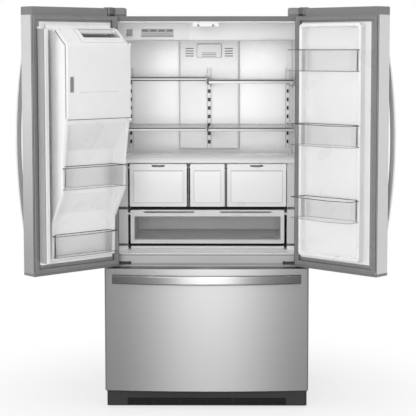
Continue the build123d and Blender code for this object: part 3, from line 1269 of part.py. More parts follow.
# Liner of the left door: walls that step out from the lower bin to the ice compartment, with its sloping top.
# Between the walls a hood runs back under the ice compartment and a slope under the upper bin
LINER_BACK = BIN_BACK - CLEAR
ICE_AXIS_X = -DYKE_OUT + ICE_DOOR_T / 2
ICE_AXIS_DEPTH = ICE_FRONT + ICE_DOOR_T / 2 + CLEAR
MULLION_AXIS_DEPTH = CLEAR + MULLION_T / 2
ICE_ROOF = ICE_TOP + ICE_SLOPE_RISE - DYKE_WALL
pocket_x = (-DYKE_OUT + DYKE_WALL, -DYKE_IN - DYKE_WALL)
with BuildPart() as left_door_liner:
    with BuildSketch(Plane.YZ.offset(-DYKE_OUT)) as side_profile:
        Polygon(*[(behind(depth), z) for depth, z in LEFT_PROFILE], align=None)
        low_corners = side_profile.vertices().sort_by(Axis.Y)[1:5]
        fillet(low_corners.filter_by_position(Axis.X, behind(15), behind(110)), 12)
        fillet(side_profile.vertices().sort_by(Axis.X)[-2:].sort_by(Axis.Y)[-1], ICE_CORNER_R)
    extrude(amount=DYKE_OUT - DYKE_IN)
    free_side = left_door_liner.faces().filter_by(Axis.X).sort_by(Axis.X)[-1]
    fillet(free_side.edges().filter_by_position(Axis.Y, behind(0), behind(ICE_FRONT - 20)), LINER_EDGE_R)
    add(liner_plate(-1))
    with BuildSketch(Plane.YZ.offset(pocket_x[0])) as bin_pocket:
        Polygon(
            (behind(LINER_BACK), DYKE_BOTTOM + DYKE_WALL),
            (behind(ICE_FRONT), DYKE_BOTTOM + DYKE_WALL),
            (behind(ICE_FRONT), ICE_BOTTOM - DYKE_WALL),
            (behind(UPPER_BACK), UPPER_BIN + BIN_H + HOOD_GAP),
            (behind(UPPER_BACK), UPPER_BIN - APRON[0]),
            (behind(LINER_BACK), UPPER_BIN - APRON[1]),
            align=None,
        )
        fillet(bin_pocket.vertices().sort_by(Axis.X)[2:4], DYKE_WALL)
    extrude(amount=pocket_x[1] - pocket_x[0], mode=Mode.SUBTRACT)
    with BuildSketch(Plane.YZ.offset(pocket_x[0])):
        Polygon(
            (behind(LINER_BACK), ICE_BOTTOM + DYKE_WALL),
            (behind(ICE_FRONT), ICE_BOTTOM + DYKE_WALL),
            (behind(ICE_FRONT), DYKE_TOP),
            (behind(ICE_SLOPE_END), DYKE_TOP),
            (behind(ICE_SLOPE_END), ICE_ROOF),
            (behind(LINER_BACK), ICE_ROOF),
            align=None,
        )
    extrude(amount=pocket_x[1] - pocket_x[0], mode=Mode.SUBTRACT)
    for lug_z in ((ICE_BOTTOM - LUG_H, ICE_BOTTOM), (ICE_TOP, ICE_TOP + LUG_H)):
        lug_x = (-DYKE_OUT, -DYKE_OUT + DYKE_WALL)
        span_box(lug_x, (ICE_FRONT - 25, ICE_FRONT + ICE_DOOR_T + CLEAR), lug_z)
        with Locations((ICE_AXIS_X, behind(ICE_AXIS_DEPTH), sum(lug_z) / 2)):
            Cylinder(ICE_PIN_R + PIN_CLEAR, LUG_H, mode=Mode.SUBTRACT)
    mullion_lugs = (
        (MULLION_BOTTOM - CLEAR - LUG_H, MULLION_BOTTOM - CLEAR),
        (MULLION_TOP + CLEAR, MULLION_TOP + CLEAR + LUG_H),
    )
    for lug_z in mullion_lugs:
        lug_x = (MULLION_X - MULLION_T / 2, MULLION_X + MULLION_T / 2)
        span_box(lug_x, (-DOOR_BACK, CLEAR + MULLION_T), lug_z)
        with Locations((MULLION_X, behind(MULLION_AXIS_DEPTH), sum(lug_z) / 2)):
            Cylinder(MULLION_PIN_R + PIN_CLEAR, LUG_H, mode=Mode.SUBTRACT)
save_on_door(left_door_liner.part, -1, "left_door_liner")

# Mullion bar: folded square to the door while it is open, pinned at both ends
with BuildPart() as mullion_bar:
    with BuildSketch(Plane.XY.offset(MULLION_BOTTOM)):
        with Locations((MULLION_X, behind(CLEAR + MULLION_W / 2))):
            RectangleRounded(MULLION_T, MULLION_W, 3)
    extrude(amount=MULLION_TOP - MULLION_BOTTOM)
    with Locations((MULLION_X, behind(MULLION_AXIS_DEPTH), (MULLION_TOP + MULLION_BOTTOM) / 2)):
        Cylinder(MULLION_PIN_R, MULLION_TOP - MULLION_BOTTOM + 2 * MULLION_PIN_L)
save_on_door(mullion_bar.part, -1, "mullion_bar")

# Ice compartment door: a panel bent over the front and the slope, rounded about its own hinge pins.
# The chute in its slope has a raised bezel, and the latch has its pocket beside the free edge
slope_run = ICE_FRONT - ICE_SLOPE_END
slope_length = sqrt(slope_run**2 + ICE_SLOPE_RISE**2)
slope_out = (ICE_SLOPE_RISE / slope_length, slope_run / slope_length)
with BuildPart() as ice_door:
    ice_z = (ICE_BOTTOM + CLEAR, ICE_TOP - CLEAR)
    bend_x = (pocket_x[0] + ICE_SWING, -DYKE_IN)
    with BuildSketch(Plane.YZ.offset(bend_x[0])) as bent:
        with BuildLine():
            FilletPolyline(
                (behind(ICE_FRONT + CLEAR), ice_z[0]),
                (behind(ICE_FRONT + CLEAR), ICE_TOP + CLEAR),
                (behind(ICE_SLOPE_END + CLEAR), ICE_TOP + CLEAR + ICE_SLOPE_RISE),
                radius=ICE_CORNER_R,
            )
            offset(amount=ICE_DOOR_T, side=Side.RIGHT)
        make_face()
    extrude(amount=bend_x[1] - bend_x[0])
    low_corner = ice_door.edges().filter_by(Axis.Y).group_by(Axis.Z)[0].sort_by(Axis.X)[-1]
    fillet(low_corner, ICE_DOOR_T)
    free_edge = ice_door.faces().filter_by(Axis.X).sort_by(Axis.X)[-1].edges()
    fillet(free_edge.filter_by(Axis.Z).sort_by(Axis.Y)[-1], 0.6 * ICE_DOOR_T)
    with BuildSketch(Plane.XY.offset(ice_z[0])):
        with Locations(((ICE_AXIS_X + bend_x[0]) / 2 + 1, behind(ICE_AXIS_DEPTH))):
            Rectangle(bend_x[0] - ICE_AXIS_X + 2, ICE_DOOR_T)
        with Locations((ICE_AXIS_X, behind(ICE_AXIS_DEPTH))):
            Circle(ICE_DOOR_T / 2)
    extrude(amount=ice_z[1] - ice_z[0])
    with Locations((ICE_AXIS_X, behind(ICE_AXIS_DEPTH), sum(ice_z) / 2)):
        Cylinder(ICE_PIN_R, ice_z[1] - ice_z[0] + 2 * (LUG_H - 2))
    chute_x = (CHUTE_INSET - DYKE_OUT, CHUTE_INSET + CHUTE_W - DYKE_OUT)
    chute_middle = sum(CHUTE_DEPTH) / 2
    chute_rise = (ICE_FRONT + CLEAR - chute_middle) * ICE_SLOPE_RISE / slope_run
    slope_plane = Plane(
        origin=(
            sum(chute_x) / 2,
            behind(chute_middle),
            ICE_TOP + CLEAR + chute_rise + ICE_DOOR_T / slope_out[1],
        ),
        x_dir=(1, 0, 0),
        z_dir=(0, *slope_out),
    )
    with BuildSketch(slope_plane):
        chute_slant = (CHUTE_DEPTH[1] - CHUTE_DEPTH[0]) / slope_out[1]
        RectangleRounded(CHUTE_W + 2 * BEZEL_W, chute_slant + 1.2 * BEZEL_W, BEZEL_W)
    extrude(amount=BEZEL_H, taper=30)
    with BuildSketch(Plane.XY.offset(ICE_TOP)):
        with Locations((sum(chute_x) / 2, behind(chute_middle))):
            RectangleRounded(CHUTE_W, CHUTE_DEPTH[1] - CHUTE_DEPTH[0], BEZEL_W / 2)
    extrude(amount=2 * ICE_SLOPE_RISE, mode=Mode.SUBTRACT)
    ice_face = ICE_AXIS_DEPTH + ICE_DOOR_T / 2
    latch_at = (-DYKE_IN - LATCH_INSET, ICE_BOTTOM + LATCH_LIFT)
    latch_x = (latch_at[0] - LATCH_W / 2, latch_at[0] + LATCH_W / 2)
    latch_z = (latch_at[1] - LATCH_H / 2, latch_at[1] + LATCH_H / 2)
    span_box(
        (latch_x[0] - LATCH_TRAVEL - CLEAR, latch_x[1] + CLEAR),
        (ice_face - LATCH_T - CLEAR, ice_face),
        (latch_z[0] - CLEAR, latch_z[1] + CLEAR),
        Mode.SUBTRACT,
    )
save_on_door(ice_door.part, -1, "ice_door")

with BuildPart() as ice_latch:
    span_box(latch_x, (ice_face - LATCH_T, ice_face), latch_z)
    with BuildSketch(front_plane(ice_face)):
        with Locations(latch_at):
            with GridLocations(1, 8, 1, 5):
                Rectangle(LATCH_W - 4, 2)
    extrude(amount=-0.8)
save_on_door(ice_latch.part, -1, "ice_latch")

# Ice bucket inside the compartment, open on top under the chute
with BuildPart() as ice_bucket:
    bucket_x = (pocket_x[0] + CLEAR, pocket_x[1] - CLEAR)
    bucket_depth = (LINER_BACK + CLEAR, ICE_FRONT - 4)
    bucket_z = (ICE_BOTTOM + DYKE_WALL, ICE_TOP - 6 * DYKE_WALL)
    span_box(bucket_x, bucket_depth, bucket_z)
    fillet(ice_bucket.edges().filter_by(Axis.Z), 8)
    offset(amount=-BIN_WALL, openings=ice_bucket.faces().sort_by(Axis.Z)[-1])
save_on_door(ice_bucket.part, -1, "ice_bucket")

# Dispenser housing: a crowned fascia over a niche, with the spout and the ears of the paddle
niche_x = (NICHE_X - NICHE_W / 2, NICHE_X + NICHE_W / 2)
cavity_z = (NICHE_BOTTOM + NICHE_WALL, NICHE_BOTTOM + 0.68 * NICHE_H)
cavity_back = NICHE_BACK - NICHE_WALL
paddle_depth = cavity_back - 26
PADDLE_HALF = 30.0
PADDLE_DROP = 12.0
with BuildPart() as dispenser_housing:
    with BuildSketch(Plane.XY.offset(NICHE_BOTTOM)):
        crowned_plan(niche_x[0], niche_x[1], NICHE_BACK)
    extrude(amount=NICHE_H)
    with BuildSketch(front_plane(cavity_back)):
        with Locations((NICHE_X, sum(cavity_z) / 2)):
            RectangleRounded(NICHE_W - 2 * NICHE_WALL, cavity_z[1] - cavity_z[0], 14)
    extrude(amount=2 * NICHE_DEPTH, mode=Mode.SUBTRACT)
    with Locations((NICHE_X, behind(paddle_depth - 26), cavity_z[1] + 1)):
        Cone(11, 22, 22, align=(Align.CENTER, Align.CENTER, Align.MAX))
    for side in (-1, 1):
        ear = sorted((NICHE_X + side * (PADDLE_HALF + CLEAR), NICHE_X + side * (PADDLE_HALF + CLEAR + 4)))
        span_box(ear, (paddle_depth, paddle_depth + 12), (cavity_z[1] - 2 * PADDLE_DROP, cavity_z[1] + 1))
    with Locations((NICHE_X, behind(paddle_depth + 6), cavity_z[1] - PADDLE_DROP)):
        Cylinder(PADDLE_PIN_R + PIN_CLEAR, 2 * PADDLE_HALF + 20, rotation=(0, 90, 0), mode=Mode.SUBTRACT)
save_on_door(dispenser_housing.part, -1, "dispenser_housing")

# Dispenser paddle on its pins
with BuildPart() as dispenser_paddle:
    axis_z = cavity_z[1] - PADDLE_DROP
    paddle_x = (NICHE_X - PADDLE_HALF, NICHE_X + PADDLE_HALF)
    span_box(paddle_x, (paddle_depth + 4, paddle_depth + 8), (axis_z - 110, axis_z))
    with Locations((NICHE_X, behind(paddle_depth + 6), axis_z)):
        Cylinder(PADDLE_PIN_R, 2 * (PADDLE_HALF + CLEAR + 3), rotation=(0, 90, 0))
    fillet(dispenser_paddle.edges().filter_by(Axis.Y).group_by(Axis.Z)[0], 12)
save_on_door(dispenser_paddle.part, -1, "dispenser_paddle")
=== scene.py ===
import bpy, bmesh, math
from mathutils import Matrix, Vector


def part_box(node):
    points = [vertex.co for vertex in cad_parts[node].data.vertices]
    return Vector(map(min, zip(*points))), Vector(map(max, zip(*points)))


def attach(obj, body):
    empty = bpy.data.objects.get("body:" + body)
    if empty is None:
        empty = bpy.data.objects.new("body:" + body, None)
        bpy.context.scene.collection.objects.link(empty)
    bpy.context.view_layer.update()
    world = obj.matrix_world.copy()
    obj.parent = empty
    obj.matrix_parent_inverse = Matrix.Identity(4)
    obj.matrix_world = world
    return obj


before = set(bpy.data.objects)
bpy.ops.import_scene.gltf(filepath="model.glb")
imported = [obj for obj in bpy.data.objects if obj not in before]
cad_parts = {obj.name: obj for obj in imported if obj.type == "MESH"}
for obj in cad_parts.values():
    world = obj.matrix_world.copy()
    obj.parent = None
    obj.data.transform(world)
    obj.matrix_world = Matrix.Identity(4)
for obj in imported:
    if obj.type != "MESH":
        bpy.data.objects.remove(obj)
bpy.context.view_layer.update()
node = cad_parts


# Cabinet wrapper and centre rail.
# Painted sheet steel, folded round the back of the cabinet, with a fine orange-peel in the paint.
# The rail between the compartments is a lighter strip, with painted shade in a grey step line near its top
# and a darker foot, and painted light on its top face.
def grey(level):
    """Linear value of a grey as it is seen, 0 to 255."""
    v = level / 255
    return ((v + 0.055) / 1.055) ** 2.4


def tone(level, warm=0.0):
    """Linear colour of a nearly neutral grey: warm above 0 leans to yellow, below 0 to blue."""
    return (grey(level + warm), grey(level), grey(level - warm))


def new_finish(name, colour, roughness, metallic=0.0):
    """A finish with one shader, and the Object coordinates that its patterns read."""
    finish = bpy.data.materials.new(name)
    finish.use_nodes = True
    tree = finish.node_tree
    shader = tree.nodes["Principled BSDF"]
    shader.inputs["Base Color"].default_value = (*colour, 1)
    shader.inputs["Roughness"].default_value = roughness
    shader.inputs["Metallic"].default_value = metallic
    place = tree.nodes.new("ShaderNodeTexCoord")
    return finish, tree, shader, place


def opened(finish):
    """The nodes of a finish that is already made, and its shader."""
    return finish.node_tree, finish.node_tree.nodes["Principled BSDF"]


def cloud(tree, place, scale, stretch=(1, 1, 1), detail=3.0):
    """Soft noise over the piece, stretched along the axes."""
    turn = tree.nodes.new("ShaderNodeMapping")
    turn.inputs["Scale"].default_value = stretch
    noise = tree.nodes.new("ShaderNodeTexNoise")
    noise.inputs["Scale"].default_value = scale
    noise.inputs["Detail"].default_value = detail
    tree.links.new(place.outputs["Object"], turn.inputs["Vector"])
    tree.links.new(turn.outputs["Vector"], noise.inputs["Vector"])
    return noise.outputs["Fac"]


def between(tree, amount, low, high, start=0.35, end=0.65):
    """Colour that runs from low to high as the amount rises from start to end."""
    ramp = tree.nodes.new("ShaderNodeValToRGB")
    ramp.color_ramp.elements[0].position = start
    ramp.color_ramp.elements[0].color = (*low, 1)
    ramp.color_ramp.elements[1].position = end
    ramp.color_ramp.elements[1].color = (*high, 1)
    tree.links.new(amount, ramp.inputs["Fac"])
    return ramp.outputs["Color"]


def spread(tree, amount, low, high, start=0.3, end=0.7):
    """Number that runs from low to high as the amount rises from start to end."""
    span = tree.nodes.new("ShaderNodeMapRange")
    span.inputs["From Min"].default_value = start
    span.inputs["From Max"].default_value = end
    span.inputs["To Min"].default_value = low
    span.inputs["To Max"].default_value = high
    tree.links.new(amount, span.inputs["Value"])
    return span.outputs["Result"]


def relief(tree, shader, amount, height, strength=1.0):
    """Raises the surface with the amount, height in metres."""
    bump = tree.nodes.new("ShaderNodeBump")
    bump.inputs["Distance"].default_value = height
    bump.inputs["Strength"].default_value = strength
    tree.links.new(amount, bump.inputs["Height"])
    tree.links.new(bump.outputs["Normal"], shader.inputs["Normal"])


def painted_steel(name, level, roughness=0.42, peel=0.00006):
    """Sprayed and baked paint: faintly clouded, with an orange-peel skin."""
    finish, tree, shader, place = new_finish(name, tone(level), roughness)
    wide = cloud(tree, place, 3.0)
    colour = between(tree, wide, tone(level - 4), tone(level + 4))
    tree.links.new(colour, shader.inputs["Base Color"])
    tree.links.new(spread(tree, wide, roughness - 0.05, roughness + 0.05), shader.inputs["Roughness"])
    shader.inputs["Specular IOR Level"].default_value = 0.22
    relief(tree, shader, cloud(tree, place, 900.0, detail=1.0), peel)
    return finish


def dress(finish, *names):
    """Gives the finish to CAD pieces."""
    for name in names:
        node[name].material_slots[0].material = finish


def combine(tree, operation, first, second):
    """Joins two amounts by a sum, product or maximum."""
    step = tree.nodes.new("ShaderNodeMath")
    step.operation = operation
    tree.links.new(first, step.inputs[0])
    tree.links.new(second, step.inputs[1])
    return step.outputs["Value"]


def zone(tree, axes, x=None, y=None, z=None):
    """1 inside the given spans of the piece's own coordinates, 0 outside."""
    inside = None
    for letter, span in (("X", x), ("Y", y), ("Z", z)):
        if span is None:
            continue
        test = tree.nodes.new("ShaderNodeMath")
        test.operation = "COMPARE"
        test.inputs[1].default_value = (span[0] + span[1]) / 2
        test.inputs[2].default_value = (span[1] - span[0]) / 2
        tree.links.new(axes.outputs[letter], test.inputs[0])
        near = test.outputs["Value"]
        inside = near if inside is None else combine(tree, "MULTIPLY", inside, near)
    return inside


def axes_of(tree, turn=None):
    """The piece's coordinates; turn gives those of a door as if it were shut."""
    place = tree.nodes.new("ShaderNodeTexCoord")
    axes = tree.nodes.new("ShaderNodeSeparateXYZ")
    source = place.outputs["Object"]
    if turn is not None:
        shut = tree.nodes.new("ShaderNodeMapping")
        shut.inputs["Location"].default_value = turn.to_translation()
        shut.inputs["Rotation"].default_value = turn.to_euler()
        tree.links.new(source, shut.inputs["Vector"])
        source = shut.outputs["Vector"]
    tree.links.new(source, axes.inputs["Vector"])
    return axes


def lay_over(tree, shader, mask):
    """Lays a second colour over the finish where the mask is 1, and returns the socket for that colour."""
    mix = tree.nodes.new("ShaderNodeMix")
    mix.data_type = "RGBA"
    tree.links.new(mask, mix.inputs["Factor"])
    tree.links.new(shader.inputs["Base Color"].links[0].from_socket, mix.inputs["A"])
    tree.links.new(mix.outputs["Result"], shader.inputs["Base Color"])
    return mix.inputs["B"]


def paint(finish, colour, spans, turn=None, where=None):
    """Colours one zone of a finish for each dictionary of spans, and only where the last amount is 1."""
    tree, shader = opened(finish)
    axes = axes_of(tree, turn)
    mask = None
    for span in spans:
        part = zone(tree, axes, **span)
        mask = part if mask is None else combine(tree, "MAXIMUM", mask, part)
    if where is not None:
        mask = combine(tree, "MULTIPLY", mask, where)
    lay_over(tree, shader, mask).default_value = (*colour, 1)
    return mask


RAIL_STEP = 0.004
RAIL_SKIN = (-0.0005, 0.001)
dress(painted_steel("cabinet_paint", 106), "cabinet_shell")
rail_paint = painted_steel("rail_paint", 200, 0.36)
rail_low, rail_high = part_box("centre_rail")
# Painted shade and light on the rail: the shade line of a step, a darker foot and a lighter top face.
paint(rail_paint, tone(150), [{"z": (rail_high.z - 2 * RAIL_STEP, rail_high.z - RAIL_STEP)}])
paint(rail_paint, tone(168), [{"z": (rail_low.z, rail_low.z + 3 * RAIL_STEP)}])
paint(rail_paint, tone(238), [{"z": (rail_high.z + RAIL_SKIN[0], rail_high.z + RAIL_SKIN[1])}])
dress(rail_paint, "centre_rail")

# Rear sheet and machine cover.
# Bare galvanised steel with its mottled zinc, screwed to the back of the cabinet.
SPANGLE_SCALE = 70.0
galvanised, tree, shader, place = new_finish("galvanised_sheet", tone(168), 0.45, 0.85)
spangle = tree.nodes.new("ShaderNodeTexVoronoi")
spangle.inputs["Scale"].default_value = SPANGLE_SCALE
tree.links.new(place.outputs["Object"], spangle.inputs["Vector"])
mottle = between(tree, spangle.outputs["Distance"], tone(176), tone(168), 0.1, 0.7)
tree.links.new(mottle, shader.inputs["Base Color"])
tree.links.new(spread(tree, cloud(tree, place, 60.0), 0.38, 0.52), shader.inputs["Roughness"])
dress(galvanised, "rear_panel", "machine_cover")

# Sheet-metal screws.
# Zinc-plated pan heads, each with a sunk round drive, down both edges of the rear sheet
# and at the corners of the machine cover.
SCREW_R = 0.0045
SCREW_H = 0.0024
SCREW_SIDES = 16
SCREW_SEAT = 0.001
SHEET_EDGE = 0.012
SHEET_SCREWS_Z = (0.36, 0.70, 1.04, 1.38, 1.70)
COVER_EDGE = 0.014
COVER_CORNER = 0.02


def piece(name, shape, body, finish):
    """Turns a finished bmesh into a piece that rides on a body."""
    mesh = bpy.data.meshes.new(name)
    shape.to_mesh(mesh)
    shape.free()
    mesh.materials.append(finish)
    made = bpy.data.objects.new(name, mesh)
    bpy.context.collection.objects.link(made)
    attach(made, body)
    return made


def soften(shape, edges, offset, segments=2):
    """Rounds edges off, as moulding and folding leave them."""
    bmesh.ops.bevel(shape, geom=edges, offset=offset, segments=segments, profile=0.5,
                    affect="EDGES", material=-1)


def add_screw(shape, at, turn):
    """A pan head with a sunk drive, standing up along the turned Z axis."""
    start = len(shape.verts)
    head = bmesh.ops.create_cone(shape, cap_ends=True, segments=SCREW_SIDES,
                                 radius1=SCREW_R, radius2=SCREW_R, depth=SCREW_H)
    shape.verts.ensure_lookup_table()
    top = [e for e in shape.edges if all(v in head["verts"] and v.co.z > 0 for v in e.verts)]
    soften(shape, top, SCREW_H * 0.6)
    shape.verts.ensure_lookup_table()
    new = shape.verts[start:]
    crown = [f for f in shape.faces if all(v in new for v in f.verts) and f.normal.z > 0.99]
    bmesh.ops.inset_region(shape, faces=crown, thickness=SCREW_R * 0.35, depth=0)
    bmesh.ops.inset_region(shape, faces=crown, thickness=SCREW_R * 0.12, depth=-SCREW_H * 0.4)
    shape.verts.ensure_lookup_table()
    bmesh.ops.transform(shape, matrix=Matrix.Translation(at) @ turn, verts=shape.verts[start:])


zinc, tree, shader, place = new_finish("zinc_plate", tone(190), 0.35, 1.0)
drawn = cloud(tree, place, 40.0, (1, 6, 1))
tree.links.new(between(tree, drawn, tone(176), tone(202)), shader.inputs["Base Color"])
back_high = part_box("rear_panel")[1]
cover_low, cover_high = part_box("machine_cover")
to_back = Matrix.Rotation(-math.pi / 2, 4, "X")
shape = bmesh.new()
for side in (-1, 1):
    for z in SHEET_SCREWS_Z:
        add_screw(shape, (side * (back_high.x - SHEET_EDGE), back_high.y - SCREW_SEAT, z), to_back)
    for z in (cover_low.z + COVER_CORNER, cover_high.z - COVER_CORNER):
        add_screw(shape, (side * (cover_high.x - COVER_EDGE), cover_high.y - SCREW_SEAT, z), to_back)
bmesh.ops.recalc_face_normals(shape, faces=shape.faces)
piece("sheet_screws", shape, "cabinet", zinc)

# Base: tray, legs, rollers and the grille in front.
# The tray is black-coated steel; the grille is a dark moulding with louvres, with painted shade making its
# wide lower recess darker still, and a near-black dust screen stands behind it in place of the shade in the
# grille's hollow.
RECESS_HALF = 0.356
RECESS_HIGH = 0.034
SCREEN_THICK = 0.003
SCREEN_SHORTER = 0.02
SCREEN_LOWER = 0.012
SCREEN_BEHIND = 0.014
SMALL_ROUND = 0.0008


def moulded(name, level, roughness=0.4, mottle=3, warm=0.0, pebble=0.00002):
    """Moulded plastic: an even colour with faint clouding and a fine pebbled skin."""
    finish, tree, shader, place = new_finish(name, tone(level, warm), roughness)
    wide = cloud(tree, place, 5.0)
    colour = between(tree, wide, tone(level - mottle, warm), tone(level + mottle, warm))
    tree.links.new(colour, shader.inputs["Base Color"])
    tree.links.new(spread(tree, wide, roughness - 0.04, roughness + 0.04), shader.inputs["Roughness"])
    relief(tree, shader, cloud(tree, place, 1400.0, detail=1.0), pebble)
    return finish


def add_bar(shape, size, centre):
    """A straight bar, given by its three sizes and its centre."""
    made = bmesh.ops.create_cube(shape, size=1.0)["verts"]
    bmesh.ops.scale(shape, vec=size, verts=made)
    bmesh.ops.translate(shape, vec=centre, verts=made)


dress(painted_steel("base_coat", 62, 0.5), "base_frame", "levelling_legs")
grille_plastic = moulded("grille_plastic", 52, 0.55, 3)
opened(grille_plastic)[1].inputs["Specular IOR Level"].default_value = 0.2
grille_low, grille_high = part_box("base_grille")
# Painted shade: the wide lower recess is darker still.
paint(grille_plastic, tone(20), [{"x": (-RECESS_HALF, RECESS_HALF),
                                  "z": (grille_low.z, grille_low.z + RECESS_HIGH)}])
dress(grille_plastic, "base_grille")
# A near-black screen behind the grille that stands in for the shade in its hollow.
shape = bmesh.new()
screen_wide = grille_high.x - grille_low.x - SCREEN_SHORTER
screen_high = grille_high.z - grille_low.z - SCREEN_LOWER
add_bar(shape, (screen_wide, SCREEN_THICK, screen_high),
        (0, grille_low.y + SCREEN_BEHIND, (grille_low.z + grille_high.z) / 2))
soften(shape, shape.edges[:], SMALL_ROUND)
screen, tree, shader, place = new_finish("grille_shade_screen", tone(24), 0.9)
mesh_lines = cloud(tree, place, 1600.0, detail=1.0)
tree.links.new(between(tree, mesh_lines, tone(14), tone(34)), shader.inputs["Base Color"])
relief(tree, shader, mesh_lines, 0.0003)
piece("grille_shade_screen", shape, "cabinet", screen)
dress(moulded("roller_plastic", 48, 0.5), "rear_rollers")

# Insulation and machinery, closed in behind the covers.
# Rigid foam is a pale, porous yellow; the compressor is black enamel and the fan a dark moulding.
FOAM = (0.82, 0.72, 0.42)
FOAM_DEEP = (0.74, 0.64, 0.36)
FOAM_PALE = (0.86, 0.76, 0.46)
foam, tree, shader, place = new_finish("rigid_foam", FOAM, 0.9)
pores = cloud(tree, place, 700.0, detail=2.0)
tree.links.new(between(tree, pores, FOAM_DEEP, FOAM_PALE), shader.inputs["Base Color"])
relief(tree, shader, pores, 0.0004)
dress(foam, "foam_insulation")
dress(painted_steel("compressor_enamel", 30, 0.35), "sealed_system", "fan_motor")
dress(moulded("fan_plastic", 58, 0.45), "condenser_fan")
dress(moulded("valve_plastic", 214, 0.4, 4, 2), "water_inlet")

# Liners of both compartments.
# Vacuum-formed white plastic, glossy, with a faint clouding from the forming.
liner = moulded("liner_plastic", 232, 0.3, 2)
dress(liner, "fresh_food_liner", "freezer_liner")

# Ceiling fittings: lamp panel, ice maker housing and mullion guide.
# Fine-matte white mouldings, screwed to the liner; the lamp panel is set greyer than the others as painted
# shade on its underside. The housing's vent carries painted shade: it is greyer at its floor, with a row of
# near-black slits along its top, a shaded sill and a grey port.
VENT_X = (-0.300, -0.152)
VENT_SILL = (0.0130, 0.0157)
SLIT_X = (-0.296, -0.259, -0.222, -0.185)
SLIT_W = 0.029
SLIT_Z = (0.040, 0.0475)
PORT_X = (-0.368, -0.336)
# Painted shade: the lamp panel is greyer than the other white mouldings.
dress(moulded("ceiling_plastic", 208, 0.42, 2), "ceiling_panel")
ice_maker_plastic = moulded("ice_maker_plastic", 200, 0.42, 2)
ice_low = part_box("ice_maker")[0]
ice_front = ice_low.y
vent_face = (ice_front - 0.001, ice_front + 0.0045)
vent_floor = (ice_front + 0.003, ice_front + 0.005)
slit_floor = (ice_front + 0.0055, ice_front + 0.018)
port_floor = (ice_front + 0.0145, ice_front + 0.018)
vent_sill = (ice_low.z + VENT_SILL[0], ice_low.z + VENT_SILL[1])
slit_rows = (ice_low.z + SLIT_Z[0], ice_low.z + SLIT_Z[1])
slit_deep = (vent_floor[0], slit_floor[1])
# Painted shade in the vent's recess, slits, sill and port.
paint(ice_maker_plastic, tone(172), [{"x": VENT_X, "y": vent_floor}])
paint(ice_maker_plastic, tone(164), [{"x": VENT_X, "y": slit_floor}])
paint(ice_maker_plastic, tone(128), [{"x": VENT_X, "y": vent_face, "z": vent_sill}])
paint(ice_maker_plastic, tone(60), [{"x": (x, x + SLIT_W), "y": slit_deep, "z": slit_rows} for x in SLIT_X])
paint(ice_maker_plastic, tone(150), [{"x": PORT_X, "y": port_floor}])
dress(ice_maker_plastic, "ice_maker")
dress(moulded("guide_plastic", 228, 0.42, 2), "mullion_guide")

# Air tower on the back wall, with its filter cover, and the freezer's duct cover.
# White mouldings snapped to the liner, with slots for the cold air; the floors of the tower's slots and of
# the filter cover's recesses are painted dark as painted shade.
TOWER_SLOTS_Z = (1.55, 1.62)
FILTER_EDGE_X = (0.057, 0.0605)
FILTER_EDGES_Z = ((1.5575, 1.561), (1.623, 1.6265))
tower_plastic = moulded("tower_plastic", 232, 0.4, 2)
tower_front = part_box("air_tower")[0].y
# Painted shade on the floors of the slots.
paint(tower_plastic, tone(110), [{"y": (tower_front + 0.012, tower_front + 0.016), "z": TOWER_SLOTS_Z}])
dress(tower_plastic, "air_tower")
filter_plastic = moulded("filter_cover_plastic", 224, 0.4, 2)
filter_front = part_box("air_filter_cover")[0].y
# Painted shade on the floors of the recesses.
paint(filter_plastic, tone(120), [{"y": (filter_front + 0.003, filter_front + 0.006)}])
outline = [{"x": (-FILTER_EDGE_X[1], -FILTER_EDGE_X[0])}, {"x": FILTER_EDGE_X}]
outline += [{"z": span} for span in FILTER_EDGES_Z]
paint(filter_plastic, tone(188), outline)
dress(filter_plastic, "air_filter_cover")
dress(moulded("duct_plastic", 226, 0.42, 2), "freezer_duct_cover")

# Lamp lens.
# A frosted cover clipped into the ceiling panel, ribbed so that it hides the lamp.
LENS_X = (0.0905, 0.2995)
LENS_Y = (0.0335, 0.1225)
LENS_RIBS = 14
LENS_SET = 0.001
RIB_HIGH = 0.0012
LENS_THICK = 0.002
lens_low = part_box("ceiling_panel")[0].z
shape = bmesh.new()
bmesh.ops.create_grid(shape, x_segments=LENS_RIBS * 2, y_segments=1, size=0.5)
for vert in shape.verts:
    rib = round((vert.co.x + 0.5) * LENS_RIBS * 2) % 2
    vert.co = Vector((LENS_X[0] + (vert.co.x + 0.5) * (LENS_X[1] - LENS_X[0]),
                      LENS_Y[0] + (vert.co.y + 0.5) * (LENS_Y[1] - LENS_Y[0]),
                      lens_low + LENS_SET + RIB_HIGH * rib))
bmesh.ops.solidify(shape, geom=shape.faces[:] + shape.edges[:] + shape.verts[:], thickness=-LENS_THICK)
bmesh.ops.recalc_face_normals(shape, faces=shape.faces)
frosted, tree, shader, place = new_finish("frosted_lens", tone(240), 0.5)
frost = cloud(tree, place, 500.0)
tree.links.new(between(tree, frost, tone(234), tone(244)), shader.inputs["Base Color"])
relief(tree, shader, frost, 0.0001)
piece("lamp_lens", shape, "cabinet", frosted)

# Shelf ladders.
# Powder-coated steel channels, with slots punched through at an even pitch and painted near-black as the
# shade behind them, and a folded edge down each side, painted darker on the left than on the right as
# painted shade.
LADDERS = ((-0.382, 0.005), (0.0, 0.0072), (0.382, 0.005))
LADDER_EDGE = (0.0085, 0.0102)
SLOT_LOW = 1.142
SLOT_HIGH = 0.018
SLOT_PITCH = 0.041
SLOT_COUNT = 8
ladder_coat = painted_steel("ladder_coat", 226, 0.38, 0.00003)
tree, shader = opened(ladder_coat)
axes = axes_of(tree)
